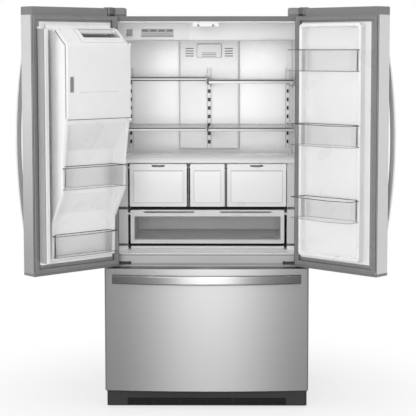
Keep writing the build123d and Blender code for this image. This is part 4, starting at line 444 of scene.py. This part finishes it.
# Painted shade: near-black rows where the slots are.
offset = tree.nodes.new("ShaderNodeMath")
offset.operation = "SUBTRACT"
offset.inputs[1].default_value = SLOT_LOW + SLOT_HIGH / 2
tree.links.new(axes.outputs["Z"], offset.inputs[0])
step = tree.nodes.new("ShaderNodeMath")
step.operation = "PINGPONG"
step.inputs[1].default_value = SLOT_PITCH / 2
tree.links.new(offset.outputs["Value"], step.inputs[0])
row = tree.nodes.new("ShaderNodeMath")
row.operation = "LESS_THAN"
row.inputs[1].default_value = SLOT_HIGH / 2
tree.links.new(step.outputs["Value"], row.inputs[0])
column = None
for x, half in LADDERS:
    part = zone(tree, axes, (x - half, x + half), None, (SLOT_LOW, SLOT_LOW + SLOT_COUNT * SLOT_PITCH))
    column = part if column is None else combine(tree, "MAXIMUM", column, part)
slots = combine(tree, "MULTIPLY", row.outputs["Value"], column)
lay_over(tree, shader, slots).default_value = (*tone(8), 1)
# Painted shade on the folded edges.
paint(ladder_coat, tone(120), [{"x": (x - LADDER_EDGE[1], x - LADDER_EDGE[0])} for x, half in LADDERS])
paint(ladder_coat, tone(150), [{"x": (x + LADDER_EDGE[0], x + LADDER_EDGE[1])} for x, half in LADDERS])
dress(ladder_coat, "shelf_ladders")

# Cantilever shelf frames.
# Powder-coated steel, hooked into the ladders; the grey front trims are painted darker along the top, and
# the arms are painted greyer at the back as painted shade deep in the cabinet.
SHELF_TOPS = (1.244, 1.461, 1.473)
TRIM_SKIN = 0.001
TRIM_DEEP = 0.004
TOP_LINE_HIGH = 0.0065
ARM_BACK = (0.30, 0.46)
shelf_coat = painted_steel("shelf_coat", 226, 0.35, 0.00003)
shelf_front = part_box("shelf_frames")[0].y
trim_face = (shelf_front - TRIM_SKIN, shelf_front + TRIM_DEEP)
paint(shelf_coat, tone(164), [{"y": trim_face}])
paint(shelf_coat, tone(62), [{"y": trim_face, "z": (z - TOP_LINE_HIGH, z + TRIM_SKIN)} for z in SHELF_TOPS])
# Painted shade on the arms towards the back.
paint(shelf_coat, tone(170), [{"y": (shelf_front + ARM_BACK[0], shelf_front + ARM_BACK[1])}])
dress(shelf_coat, "shelf_frames")


# Glass panes of the shelves and the crisper cover.
# Float glass with ground edges: clear when looked through, faintly blue and brighter when seen edge on.
# The pane over the crispers is frosted.
def clear(name, level, low, high, roughness=0.05, warm=0.0):
    """Clear sheet: it lets light through where it is seen square on, and less so along its edges."""
    finish, tree, shader, place = new_finish(name, tone(level, warm), roughness)
    smear = cloud(tree, place, 12.0)
    tree.links.new(spread(tree, smear, roughness, roughness + 0.06), shader.inputs["Roughness"])
    colour = between(tree, smear, tone(level - 3, warm), tone(level + 3, warm))
    tree.links.new(colour, shader.inputs["Base Color"])
    slant = tree.nodes.new("ShaderNodeLayerWeight")
    slant.inputs["Blend"].default_value = 0.35
    tree.links.new(spread(tree, slant.outputs["Facing"], low, high, 0.0, 1.0), shader.inputs["Alpha"])
    return finish


def thicken(finish, mask, opacity):
    """Makes a clear sheet at least this opaque where the mask is 1."""
    tree, shader = opened(finish)
    solid = spread(tree, mask, 0.0, opacity, 0.0, 1.0)
    sheet = shader.inputs["Alpha"].links[0].from_socket
    tree.links.new(combine(tree, "MAXIMUM", sheet, solid), shader.inputs["Alpha"])


COVER_PANE_Z = (1.085, 1.105)
shelf_glass = clear("shelf_glass", 236, 0.03, 0.2, 0.03, -2)
frosted_pane = paint(shelf_glass, tone(228), [{"z": COVER_PANE_Z}])
thicken(shelf_glass, frosted_pane, 0.92)
dress(shelf_glass, "shelf_panes")

# Crisper cover, its front trim and the side rails.
# The cover is a white frame round a glass pane, carried on two uprights between the drawers that are
# painted near-black as the shade in the gaps there.
# A metal trim snaps on along its front edge; its finish is not metallic, and its grey is painted paler
# towards its foot as a painted reflection.
UPRIGHTS_Z = (0.885, 1.0825)
CRISPER_GAP_Z = (0.8715, 0.8845)
PANTRY_GAP_Z = (0.7045, 0.7155)
RAIL_FOOT_Z = (0.689, 0.7040)
TRIM_LOW = 1.0865
TRIM_HIGH = 1.121
TRIM_THICK = 0.0032
TRIM_STAND = 0.0017
TRIM_SHORTER = 0.001
TRIM_ROUND = 0.0014
cover_plastic = moulded("cover_plastic", 222, 0.36, 2)
# Painted shade: the uprights are near-black.
paint(cover_plastic, tone(20), [{"z": UPRIGHTS_Z}])
dress(cover_plastic, "crisper_cover")
rail_plastic = moulded("rail_plastic", 200, 0.4, 3)
# Painted shade: near-black bands on the side rails at the gaps under the crispers and under the pantry.
paint(rail_plastic, tone(18), [{"z": PANTRY_GAP_Z}, {"z": CRISPER_GAP_Z}])
paint(rail_plastic, tone(232), [{"z": RAIL_FOOT_Z}])
dress(rail_plastic, "side_rails")
cover_low, cover_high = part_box("crisper_cover")
shape = bmesh.new()
add_bar(shape, (cover_high.x - cover_low.x - TRIM_SHORTER, TRIM_THICK, TRIM_HIGH - TRIM_LOW),
        (0, cover_low.y - TRIM_STAND, (TRIM_LOW + TRIM_HIGH) / 2))
long_edges = [e for e in shape.edges if abs(e.verts[0].co.x - e.verts[1].co.x) > 0.1]
soften(shape, long_edges, TRIM_ROUND, 3)
trim_painted_reflection, tree, shader, place = new_finish("trim_painted_reflection", tone(170), 0.5)
# Painted reflection: pale at the foot, darker at the top.
rise = spread(tree, axes_of(tree).outputs["Z"], 0.0, 1.0, TRIM_LOW, TRIM_HIGH)
tree.links.new(between(tree, rise, tone(222), tone(164), 0.0, 0.9), shader.inputs["Base Color"])
relief(tree, shader, cloud(tree, place, 6.0, (1, 1, 260), 5.0), 0.00002, 0.5)
piece("cover_trim", shape, "cabinet", trim_painted_reflection)

# Dark strips in the drawers' bay, standing in for shade.
# Near-black vinyl strips set back in the gaps under the crispers and under the pantry stand in for the
# shade in those gaps, with a white sill below.
BAY_WIDE = 0.6998
SHADE_STRIP_THICK = 0.005
SHADE_STRIP_Y = -0.0295
SILL_THICK = 0.004
SILL_HIGH = 0.0132
SILL_Y = -0.0305
SILL_Z = 0.6972


def soft_vinyl(name, level):
    """Extruded vinyl, with creases along its length."""
    finish, tree, shader, place = new_finish(name, tone(level), 0.6)
    crease = cloud(tree, place, 260.0, (1, 1, 0.15))
    tree.links.new(between(tree, crease, tone(level - 8), tone(level + 6)), shader.inputs["Base Color"])
    relief(tree, shader, crease, 0.0002)
    return finish


# Near-black strips that stand in for the shade in the gaps.
shape = bmesh.new()
for low, high in (CRISPER_GAP_Z, PANTRY_GAP_Z):
    add_bar(shape, (BAY_WIDE, SHADE_STRIP_THICK, high - low), (0, SHADE_STRIP_Y, (low + high) / 2))
soften(shape, shape.edges[:], SMALL_ROUND)
gap_shade_vinyl = soft_vinyl("gap_shade_vinyl", 12)
opened(gap_shade_vinyl)[1].inputs["Specular IOR Level"].default_value = 0.1
piece("drawer_gap_shade_strips", shape, "cabinet", gap_shade_vinyl)
shape = bmesh.new()
add_bar(shape, (BAY_WIDE, SILL_THICK, SILL_HIGH), (0, SILL_Y, SILL_Z))
soften(shape, shape.edges[:], SMALL_ROUND)
piece("pantry_sill", shape, "cabinet", cover_plastic)

# Crispers and their humidity sliders.
# Injection-moulded tubs with a frosted window set back in each front, outlined by a grey line painted as
# the shade of its step.
CRISPER_WINDOWS = ((-0.337, -0.110), (-0.062, 0.062), (0.106, 0.342))
WINDOW_LINE = 0.003
WINDOW_Z = (0.902, 1.053)
PANE_Z = (0.905, 1.046)
crisper_plastic = moulded("crisper_plastic", 216, 0.3, 2)
crisper_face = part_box("crisper_left")[0].y
window_floor = (crisper_face + 0.001, crisper_face + 0.004)
edge, pane = [], []
for low, high in CRISPER_WINDOWS:
    edge.append({"x": (low, high), "y": window_floor, "z": WINDOW_Z})
    pane.append({"x": (low + WINDOW_LINE, high - WINDOW_LINE), "y": window_floor, "z": PANE_Z})
# Painted shade: a grey line round each window at its step.
paint(crisper_plastic, tone(190), edge)
paint(crisper_plastic, tone(224), pane)
dress(crisper_plastic, "crisper_left", "crisper_centre", "crisper_right")
dress(moulded("slider_plastic", 70, 0.45), "humidity_slider_left", "humidity_slider_right")

# Pantry drawer.
# A moulded tub behind a front frame with a clear window, through which the tub's floor is seen;
# the tub is greyer towards the back, where little light reaches, and its back wall is pale.
PANTRY_FRAME_X = (-0.335, 0.335)
PANTRY_FRAME_Z = (0.732, 0.843)
PANTRY_CLEAR_X = (-0.331, 0.331)
PANTRY_CLEAR_Z = (0.736, 0.839)
PANTRY_BACK_Z = (0.728, 0.9)
PANTRY_CLEAR = 0.08
pantry_plastic = moulded("pantry_plastic", 206, 0.3, 2)
pantry_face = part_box("pantry_drawer")[0].y
pantry_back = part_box("pantry_drawer")[1].y
frame_skin = (pantry_face + 0.0005, pantry_face + 0.006)
front_walls = (pantry_face + 0.0005, pantry_face + 0.0150)
tub = (pantry_face + 0.010, pantry_back + 0.001)
back_wall = (pantry_back - 0.016, pantry_back + 0.001)
paint(pantry_plastic, tone(150), [{"x": PANTRY_FRAME_X, "y": frame_skin, "z": PANTRY_FRAME_Z}])
tree, shader = opened(pantry_plastic)
axes = axes_of(tree)
window = zone(tree, axes, PANTRY_CLEAR_X, front_walls, PANTRY_CLEAR_Z)
tree.links.new(spread(tree, window, 1.0, PANTRY_CLEAR, 0.0, 1.0), shader.inputs["Alpha"])
depth = spread(tree, axes.outputs["Y"], 0.0, 1.0, pantry_face + 0.02, pantry_back - 0.01)
inner = lay_over(tree, shader, zone(tree, axes, None, tub))
tree.links.new(between(tree, depth, tone(240), tone(146), 0.2, 0.85), inner)
paint(pantry_plastic, tone(212), [{"y": back_wall, "z": PANTRY_BACK_Z}])
dress(pantry_plastic, "pantry_drawer")

# Freezer drawer inside: slides, basket and tray.
# Zinc-plated steel slides carry a frosted basket, with a clear tray on its rim.
dress(zinc, "freezer_outer_slides", "freezer_inner_slides")
dress(moulded("basket_plastic", 222, 0.35, 2), "freezer_basket")
dress(clear("tray_plastic", 228, 0.22, 0.8), "freezer_tray")
dress(moulded("inner_panel_plastic", 230, 0.32, 2), "freezer_inner_panel")

# Gaskets.
# Soft extruded vinyl with fine lengthwise creases, magnetic inside; its foot is in shadow.
HINGE_X = 0.427
HINGE_Y = -0.212
SWUNG = math.radians(137.5)
CABINET_FACE = -0.167


def shut(side):
    """Takes a point of the open door back to where it is when the door is shut."""
    hinge = Matrix.Translation((side * HINGE_X, HINGE_Y, 0))
    return hinge @ Matrix.Rotation(-side * SWUNG, 4, "Z") @ hinge.inverted()


gasket_foot = (CABINET_FACE - 0.0125, CABINET_FACE - 0.0085)
for side, name in ((-1, "left"), (1, "right")):
    vinyl = soft_vinyl(name + "_gasket_vinyl", 126)
    paint(vinyl, tone(52), [{"y": gasket_foot}], shut(side))
    dress(vinyl, name + "_door_gasket")
dress(soft_vinyl("gasket_vinyl", 142), "freezer_gasket")


# Steel skins of the doors and the drawer.
# Stainless sheet brushed level, so highlights are drawn upright; the doors' free edges are a pale, nearly
# unmetallic grey that stands in for their reflection as painted reflection, darker towards the foot on the
# left door as painted shade, and a dark seam runs where the skin folds round to the liner.
def brushed(name, low, high, roughness, streak=0.05, foot=0.65, head=1.45):
    """Brushed steel with fine level streaks, whose grey rises from low at the foot to high at the head as
    painted shade.
    """
    finish, tree, shader, place = new_finish(name, tone((low + high) / 2), roughness, 1.0)
    shader.inputs["Anisotropic"].default_value = 0.8
    shader.inputs["Anisotropic Rotation"].default_value = 0.25
    grain = tree.nodes.new("ShaderNodeTangent")
    grain.direction_type = "RADIAL"
    grain.axis = "Z"
    tree.links.new(grain.outputs["Tangent"], shader.inputs["Tangent"])
    line = cloud(tree, place, 5.0, (1, 1, 420), 5.0)
    rise = spread(tree, axes_of(tree).outputs["Z"], 0.1, 0.9, foot, head)
    amount = combine(tree, "ADD", rise, spread(tree, line, -streak, streak))
    tree.links.new(between(tree, amount, tone(low), tone(high), 0.1, 0.9), shader.inputs["Base Color"])
    tree.links.new(spread(tree, line, roughness - 0.02, roughness + 0.02), shader.inputs["Roughness"])
    return finish


SKIN_LOW = 121
SKIN_HIGH = 131
EDGE_WIDE = 0.007
EDGE_OVER = 0.001
EDGE_METAL = 0.05
EDGE_FOOT = 0.65
EDGE_HEAD = 1.45
FOLD_WIDE = 0.05
fold_seam = (CABINET_FACE - 0.0205, CABINET_FACE - 0.0165)
# The skins are painted a little darker towards the foot, as painted shade.
dress(brushed("drawer_steel", SKIN_LOW, SKIN_HIGH, 0.42, 0.3, 0.1, 0.62), "freezer_front")
for side, name, foot_level, head_level in ((-1, "left", 158, 206), (1, "right", 208, 212)):
    door_steel = brushed(name + "_door_steel", SKIN_LOW, SKIN_HIGH, 0.42, 0.3, 0.65, 1.75)
    tree, shader = opened(door_steel)
    shader.inputs["Specular IOR Level"].default_value = 0.1
    # Painted reflection on the free edges, darker towards the foot on the left door as painted shade.
    rise = spread(tree, axes_of(tree).outputs["Z"], 0.0, 1.0, EDGE_FOOT, EDGE_HEAD)
    edge = zone(tree, axes_of(tree, shut(side)), sorted((-side * EDGE_OVER, side * EDGE_WIDE)))
    tree.links.new(spread(tree, edge, 1.0, EDGE_METAL, 0.0, 1.0), shader.inputs["Metallic"])
    edge_reflection_and_shade = between(tree, rise, tone(foot_level), tone(head_level), 0.1, 0.9)
    tree.links.new(edge_reflection_and_shade, lay_over(tree, shader, edge))
    paint(door_steel, tone(70), [{"x": sorted((0, side * FOLD_WIDE)), "y": fold_seam}], shut(side))
    dress(door_steel, name + "_door_panel")

# Handles.
# Bowed steel bars whose ends rest on the skins; the drawer's bar is polished, and its colour is painted
# darker towards its ends as painted shade. The door bars are a pale, barely metallic grey that stands in
# for their reflection as painted reflection.
BAR_END_SHADE = (0.45, 0.45, 0.45)
BAR_END_SHADE_X = (0.10, 0.40)
BAR_METAL = 0.2
bar_steel = brushed("handle_steel", 134, 142, 0.36, 0.2, 0.56, 0.61)
tree, shader = opened(bar_steel)
# Painted shade: the drawer bar darkens towards its ends.
along = tree.nodes.new("ShaderNodeMath")
along.operation = "ABSOLUTE"
tree.links.new(axes_of(tree).outputs["X"], along.inputs[0])
end_shade_mix = tree.nodes.new("ShaderNodeMix")
end_shade_mix.data_type = "RGBA"
end_shade_mix.blend_type = "MULTIPLY"
end_shade_mix.inputs["Factor"].default_value = 1.0
tree.links.new(shader.inputs["Base Color"].links[0].from_socket, end_shade_mix.inputs["A"])
end_shade = between(tree, along.outputs["Value"], (1, 1, 1), BAR_END_SHADE, *BAR_END_SHADE_X)
tree.links.new(end_shade, end_shade_mix.inputs["B"])
tree.links.new(end_shade_mix.outputs["Result"], shader.inputs["Base Color"])
dress(bar_steel, "freezer_handle")
# Painted reflection: the door bars are pale and barely metallic.
pale_bar_painted_reflection = brushed("pale_bar_painted_reflection", 216, 224, 0.4)
opened(pale_bar_painted_reflection)[1].inputs["Metallic"].default_value = BAR_METAL
dress(pale_bar_painted_reflection, "left_handle", "right_handle")

# Hinges, their covers and the doors' end caps.
# Black-coated steel straps with bolted ends; grey moulded covers on the cabinet top, painted near-black
# along the foot for the black straps showing under them and the shadow gap there, and grey caps pressed
# into the doors' ends.
COVER_FOOT = 0.009
COVER_SKIN = 0.001
dress(painted_steel("hinge_coat", 36, 0.4), "door_hinges")
hinge_cover_plastic = moulded("hinge_cover_plastic", 92, 0.45, 3)
hinge_cover_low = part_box("hinge_covers")[0].z
# Painted shadow along the foot of each cover.
paint(hinge_cover_plastic, tone(22), [{"z": (hinge_cover_low - COVER_SKIN, hinge_cover_low + COVER_FOOT)}])
dress(hinge_cover_plastic, "hinge_covers")
dress(moulded("cap_plastic", 120, 0.42, 3), "left_door_caps", "right_door_caps")

# Door liners.
# White vacuum-formed plastic like the cabinet's, set a little whiter than it as painted light; the border
# under the gasket is grey, and the left one has a dark line painted as the shade in the gap where the ice
# compartment door closes against it.
BORDER_FREE = (0.005, 0.036)
BORDER_HINGE = (0.410, 0.447)
BORDER_FOOT = (0.651, 0.688)
BORDER_HEAD = (1.714, 1.743)
SEAM = 0.0036
SEAM_X = (-0.066, -0.064)
SEAM_LOW = 1.305
SLOPE_FOOT = 1.6143
SLOPE_BACK = 0.073
SLOPE_RISE = 0.061
SLOPE_SPAN = (0, 0.094)
ICE_FACE = CABINET_FACE + 0.1333
flange = (CABINET_FACE - 0.0155, CABINET_FACE - 0.0115)
tilt = Matrix.Rotation(-math.atan2(SLOPE_BACK, SLOPE_RISE), 4, "X")
slope = tilt @ Matrix.Translation((0, -ICE_FACE, -SLOPE_FOOT)) @ shut(-1)
for side, name in ((-1, "left"), (1, "right")):
    # The door liners are set whiter than the cabinet's liner, as painted light.
    door_liner = moulded(name + "_door_liner_plastic", 240, 0.3, 2)
    border = []
    for near, far in (BORDER_FREE, BORDER_HINGE):
        border.append({"y": flange, "x": sorted((side * near, side * far))})
    border += [{"y": flange, "z": span} for span in (BORDER_FOOT, BORDER_HEAD)]
    paint(door_liner, tone(134), border, shut(side))
    if side < 0:
        # Painted shade in the gap round the ice compartment door.
        face_seam = {"x": SEAM_X, "y": (ICE_FACE - SEAM, ICE_FACE), "z": (SEAM_LOW, SLOPE_FOOT)}
        paint(door_liner, tone(96), [face_seam], shut(-1))
        paint(door_liner, tone(96), [{"x": SEAM_X, "y": (-SEAM, 0.001), "z": SLOPE_SPAN}], slope)
    dress(door_liner, name + "_door_liner")

# Ice compartment door, its latch and the bucket behind it.
# A white cover bent back at the top, with a chute in a raised bezel on its slope outlined in grey as
# painted shade along the bezel's edge, a faint grey line painted across its front, dark lines painted round
# it as the shade in its gaps, and a grey spring latch; the bucket is clear.
ICE_FOOT = 1.304
ICE_LINE_X = (-0.33, -0.13)
ICE_LINE_Z = (1.4195, 1.4220)
ICE_HEM_Z = (ICE_FOOT, 1.3086)
BEZEL_X = (-0.380, -0.150)
BEZEL_Z = (0.005, 0.092)
BEZEL_LINE = 0.0028
ice_plastic = moulded("ice_door_plastic", 232, 0.3, 2)
paint(ice_plastic, tone(206), [{"x": ICE_LINE_X, "z": ICE_LINE_Z}], shut(-1))
# Painted shade in the gaps round the ice door.
face_seam = {"x": SEAM_X, "y": (ICE_FACE - 0.001, ICE_FACE + SEAM), "z": (ICE_FOOT, SLOPE_FOOT)}
foot_seam = {"y": (ICE_FACE + 0.006, ICE_FACE + 0.013), "z": ICE_HEM_Z}
paint(ice_plastic, tone(96), [face_seam, foot_seam], shut(-1))
paint(ice_plastic, tone(96), [{"x": SEAM_X, "y": (-0.001, SEAM), "z": SLOPE_SPAN}], slope)
# Painted shade along the edge of the chute's bezel.
outside = (0.008, 0.025)
paint(ice_plastic, tone(186), [
    {"x": BEZEL_X, "y": outside, "z": (BEZEL_Z[0], BEZEL_Z[0] + BEZEL_LINE)},
    {"x": BEZEL_X, "y": outside, "z": (BEZEL_Z[1] - BEZEL_LINE, BEZEL_Z[1])},
    {"x": (BEZEL_X[0], BEZEL_X[0] + BEZEL_LINE), "y": outside, "z": BEZEL_Z},
    {"x": (BEZEL_X[1] - BEZEL_LINE, BEZEL_X[1]), "y": outside, "z": BEZEL_Z}], slope)
dress(ice_plastic, "ice_door")
dress(moulded("latch_plastic", 128, 0.4), "ice_latch")
dress(clear("bucket_plastic", 200, 0.35, 0.85), "ice_bucket")

# Mullion bar.
# White strips along both edges of a grey face, with a dark line beside one;
# it flips to close the gap between the doors.
strip_front = (CABINET_FACE - 0.001, CABINET_FACE + 0.005)
strip_back = (CABINET_FACE + 0.050, CABINET_FACE + 0.056)
strip_line = (CABINET_FACE + 0.0465, CABINET_FACE + 0.050)
mullion_plastic = moulded("mullion_plastic", 160, 0.4, 3)
paint(mullion_plastic, tone(226), [{"y": strip_front}, {"y": strip_back}], shut(-1))
paint(mullion_plastic, tone(110), [{"y": strip_line}], shut(-1))
dress(mullion_plastic, "mullion_bar")

# Clear door bins.
# Moulded in clear plastic, hung on the liners; on the upright walls the rims and bottom edges are painted
# as darker, more opaque lines, painted shade for the dark edges of clear plastic.
BIN_HIGH = 0.094
BIN_RIM = 0.0032
BIN_SKIN = 0.001
LINE_OPAQUE = 0.7
UPRIGHT = 0.5
for name, floors in (("left", (1.011, 0.718)), ("right", (1.504, 1.186, 0.869))):
    bin_plastic = clear(name + "_bin_plastic", 240, 0.012, 0.12, 0.04)
    tree, shader = opened(bin_plastic)
    lines = []
    for z in floors:
        lines.append({"z": (z + BIN_HIGH - BIN_RIM, z + BIN_HIGH + BIN_SKIN)})
        lines.append({"z": (z - BIN_SKIN, z + BIN_RIM)})
    facing = tree.nodes.new("ShaderNodeSeparateXYZ")
    tree.links.new(tree.nodes.new("ShaderNodeNewGeometry").outputs["Normal"], facing.inputs["Vector"])
    walls = zone(tree, facing, z=(-UPRIGHT, UPRIGHT))
    # Painted shade: darker lines at the rims and bottom edges.
    thicken(bin_plastic, paint(bin_plastic, tone(92), lines, None, walls), LINE_OPAQUE)
    dress(bin_plastic, name + "_door_bins")

# Dispenser in the left door.
# A dark glossy fascia over a niche, with a grey paddle and a slotted drip grille on the niche's floor.
NICHE_X = -0.227
NICHE_HALF = 0.094
GRILLE_Y = (CABINET_FACE - 0.088, CABINET_FACE - 0.040)
GRILLE_Z = 1.0048
SLATS = 13
SLAT_WIDE = 0.007
SLAT_HIGH = 0.003
SLAT_ROUND = 0.0007
dress(moulded("dispenser_plastic", 34, 0.22, 3), "dispenser_housing")
dress(moulded("paddle_plastic", 104, 0.35), "dispenser_paddle")
shape = bmesh.new()
for count in range(SLATS):
    at = NICHE_X - NICHE_HALF + (count + 0.5) * 2 * NICHE_HALF / SLATS
    add_bar(shape, (SLAT_WIDE, GRILLE_Y[1] - GRILLE_Y[0], SLAT_HIGH), (at, sum(GRILLE_Y) / 2, GRILLE_Z))
soften(shape, shape.edges[:], SLAT_ROUND)
bmesh.ops.transform(shape, matrix=shut(-1).inverted(), verts=shape.verts)
piece("drip_grille", shape, "left_door", moulded("drip_grille_plastic", 92, 0.3))

# Studio surround and floor.
# A white surround, and a pale floor that keeps the shadow and fades into the surround further out.
AMBIENT = 0.36
FLOOR_HALF = 14.0
FLOOR_COLOUR = (0.92, 0.92, 0.92)
FADE_START = 0.45
FADE_END = 1.5
FADE_LEAST = 0.72


def seen_directly(tree):
    """1 for rays from the camera, off a mirror or through glass."""
    ray = tree.nodes.new("ShaderNodeLightPath")
    total = ray.outputs["Is Camera Ray"]
    for kind in ("Is Glossy Ray", "Is Transmission Ray"):
        total = combine(tree, "MAXIMUM", total, ray.outputs[kind])
    return total


world = bpy.data.worlds.new("surround")
bpy.context.scene.world = world
world.use_nodes = True
tree = world.node_tree
ambient = tree.nodes["Background"]
ambient.inputs["Color"].default_value = (1, 1, 1, 1)
ambient.inputs["Strength"].default_value = AMBIENT
white = tree.nodes.new("ShaderNodeBackground")
white.inputs["Color"].default_value = (1, 1, 1, 1)
white.inputs["Strength"].default_value = 1.0
either = tree.nodes.new("ShaderNodeMixShader")
tree.links.new(seen_directly(tree), either.inputs["Fac"])
tree.links.new(ambient.outputs["Background"], either.inputs[1])
tree.links.new(white.outputs["Background"], either.inputs[2])
tree.links.new(either.outputs["Shader"], tree.nodes["World Output"].inputs["Surface"])

shape = bmesh.new()
bmesh.ops.create_grid(shape, x_segments=1, y_segments=1, size=FLOOR_HALF)
mesh = bpy.data.meshes.new("floor")
shape.to_mesh(mesh)
shape.free()
floor = bpy.data.objects.new("floor", mesh)
bpy.context.collection.objects.link(floor)
floor_finish, tree, shader, place = new_finish("pale_floor", FLOOR_COLOUR, 0.6)
distance = tree.nodes.new("ShaderNodeVectorMath")
distance.operation = "LENGTH"
tree.links.new(place.outputs["Object"], distance.inputs[0])
fade = tree.nodes.new("ShaderNodeMapRange")
fade.interpolation_type = "SMOOTHSTEP"
fade.inputs["From Min"].default_value = FADE_START
fade.inputs["From Max"].default_value = FADE_END
fade.inputs["To Min"].default_value = FADE_LEAST
tree.links.new(distance.outputs["Value"], fade.inputs["Value"])
far = combine(tree, "MULTIPLY", fade.outputs["Result"], seen_directly(tree))
glow = tree.nodes.new("ShaderNodeEmission")
either = tree.nodes.new("ShaderNodeMixShader")
tree.links.new(far, either.inputs["Fac"])
tree.links.new(shader.outputs["BSDF"], either.inputs[1])
tree.links.new(glow.outputs["Emission"], either.inputs[2])
tree.links.new(either.outputs["Shader"], tree.nodes["Material Output"].inputs["Surface"])
floor.data.materials.append(floor_finish)


# Lamps and camera.
# Soft lamps in front, above, at both sides and inside the cabinet. In front, one lamp lights the matt
# surfaces and another the gloss, and the side lamps leave the gloss alone.
def lamp(name, at, aim, size, power, diffuse=True, glossy=True):
    """A rectangular soft lamp that points at a spot; it may light only matt surfaces or only gloss."""
    light = bpy.data.lights.new(name, "AREA")
    light.shape = "RECTANGLE"
    light.size, light.size_y = size
    light.energy = power
    made = bpy.data.objects.new(name, light)
    bpy.context.collection.objects.link(made)
    made.location = at
    made.rotation_euler = (Vector(aim) - Vector(at)).to_track_quat("-Z", "Y").to_euler()
    made.visible_camera = False
    made.visible_diffuse = diffuse
    made.visible_glossy = glossy


FRONT_SIZE = (2.3, 3.2)
SIDE_SIZE = (2.2, 3.0)
lamp("front_lamp", (-1.6, -7.2, 2.2), (0, 0, 1.0), FRONT_SIZE, 113, glossy=False)
lamp("front_gleam", (-0.05, -7.6, 2.3), (0, 0, 1.0), FRONT_SIZE, 400, diffuse=False)
lamp("left_lamp", (-4.4, -1.4, 1.7), (-0.3, -0.2, 1.1), SIDE_SIZE, 56, glossy=False)
lamp("right_lamp", (4.4, -1.4, 1.7), (0.3, -0.2, 1.1), SIDE_SIZE, 50, glossy=False)
lamp("top_lamp", (0.0, -1.6, 4.6), (0, -0.1, 1.2), (4.0, 3.0), 64)
lamp("cabinet_lamp", (-0.06, -0.15, 1.39), (-0.06, 0.43, 1.33), (0.68, 0.36), 1.45)

LOOK_DOWN = 0.0902
LOOK_LEFT = 0.0070
camera = bpy.data.objects.new("camera", bpy.data.cameras.new("camera"))
bpy.context.collection.objects.link(camera)
camera.location = (0.1247, -6.2478, 1.5930)
camera.rotation_euler = (math.pi / 2 - LOOK_DOWN, 0, LOOK_LEFT)
camera.data.sensor_width = 36.0
camera.data.lens = 118.74
camera.data.shift_x = -0.0415
camera.data.shift_y = -0.08
bpy.context.scene.camera = camera
bpy.context.scene.view_settings.view_transform = "Standard"
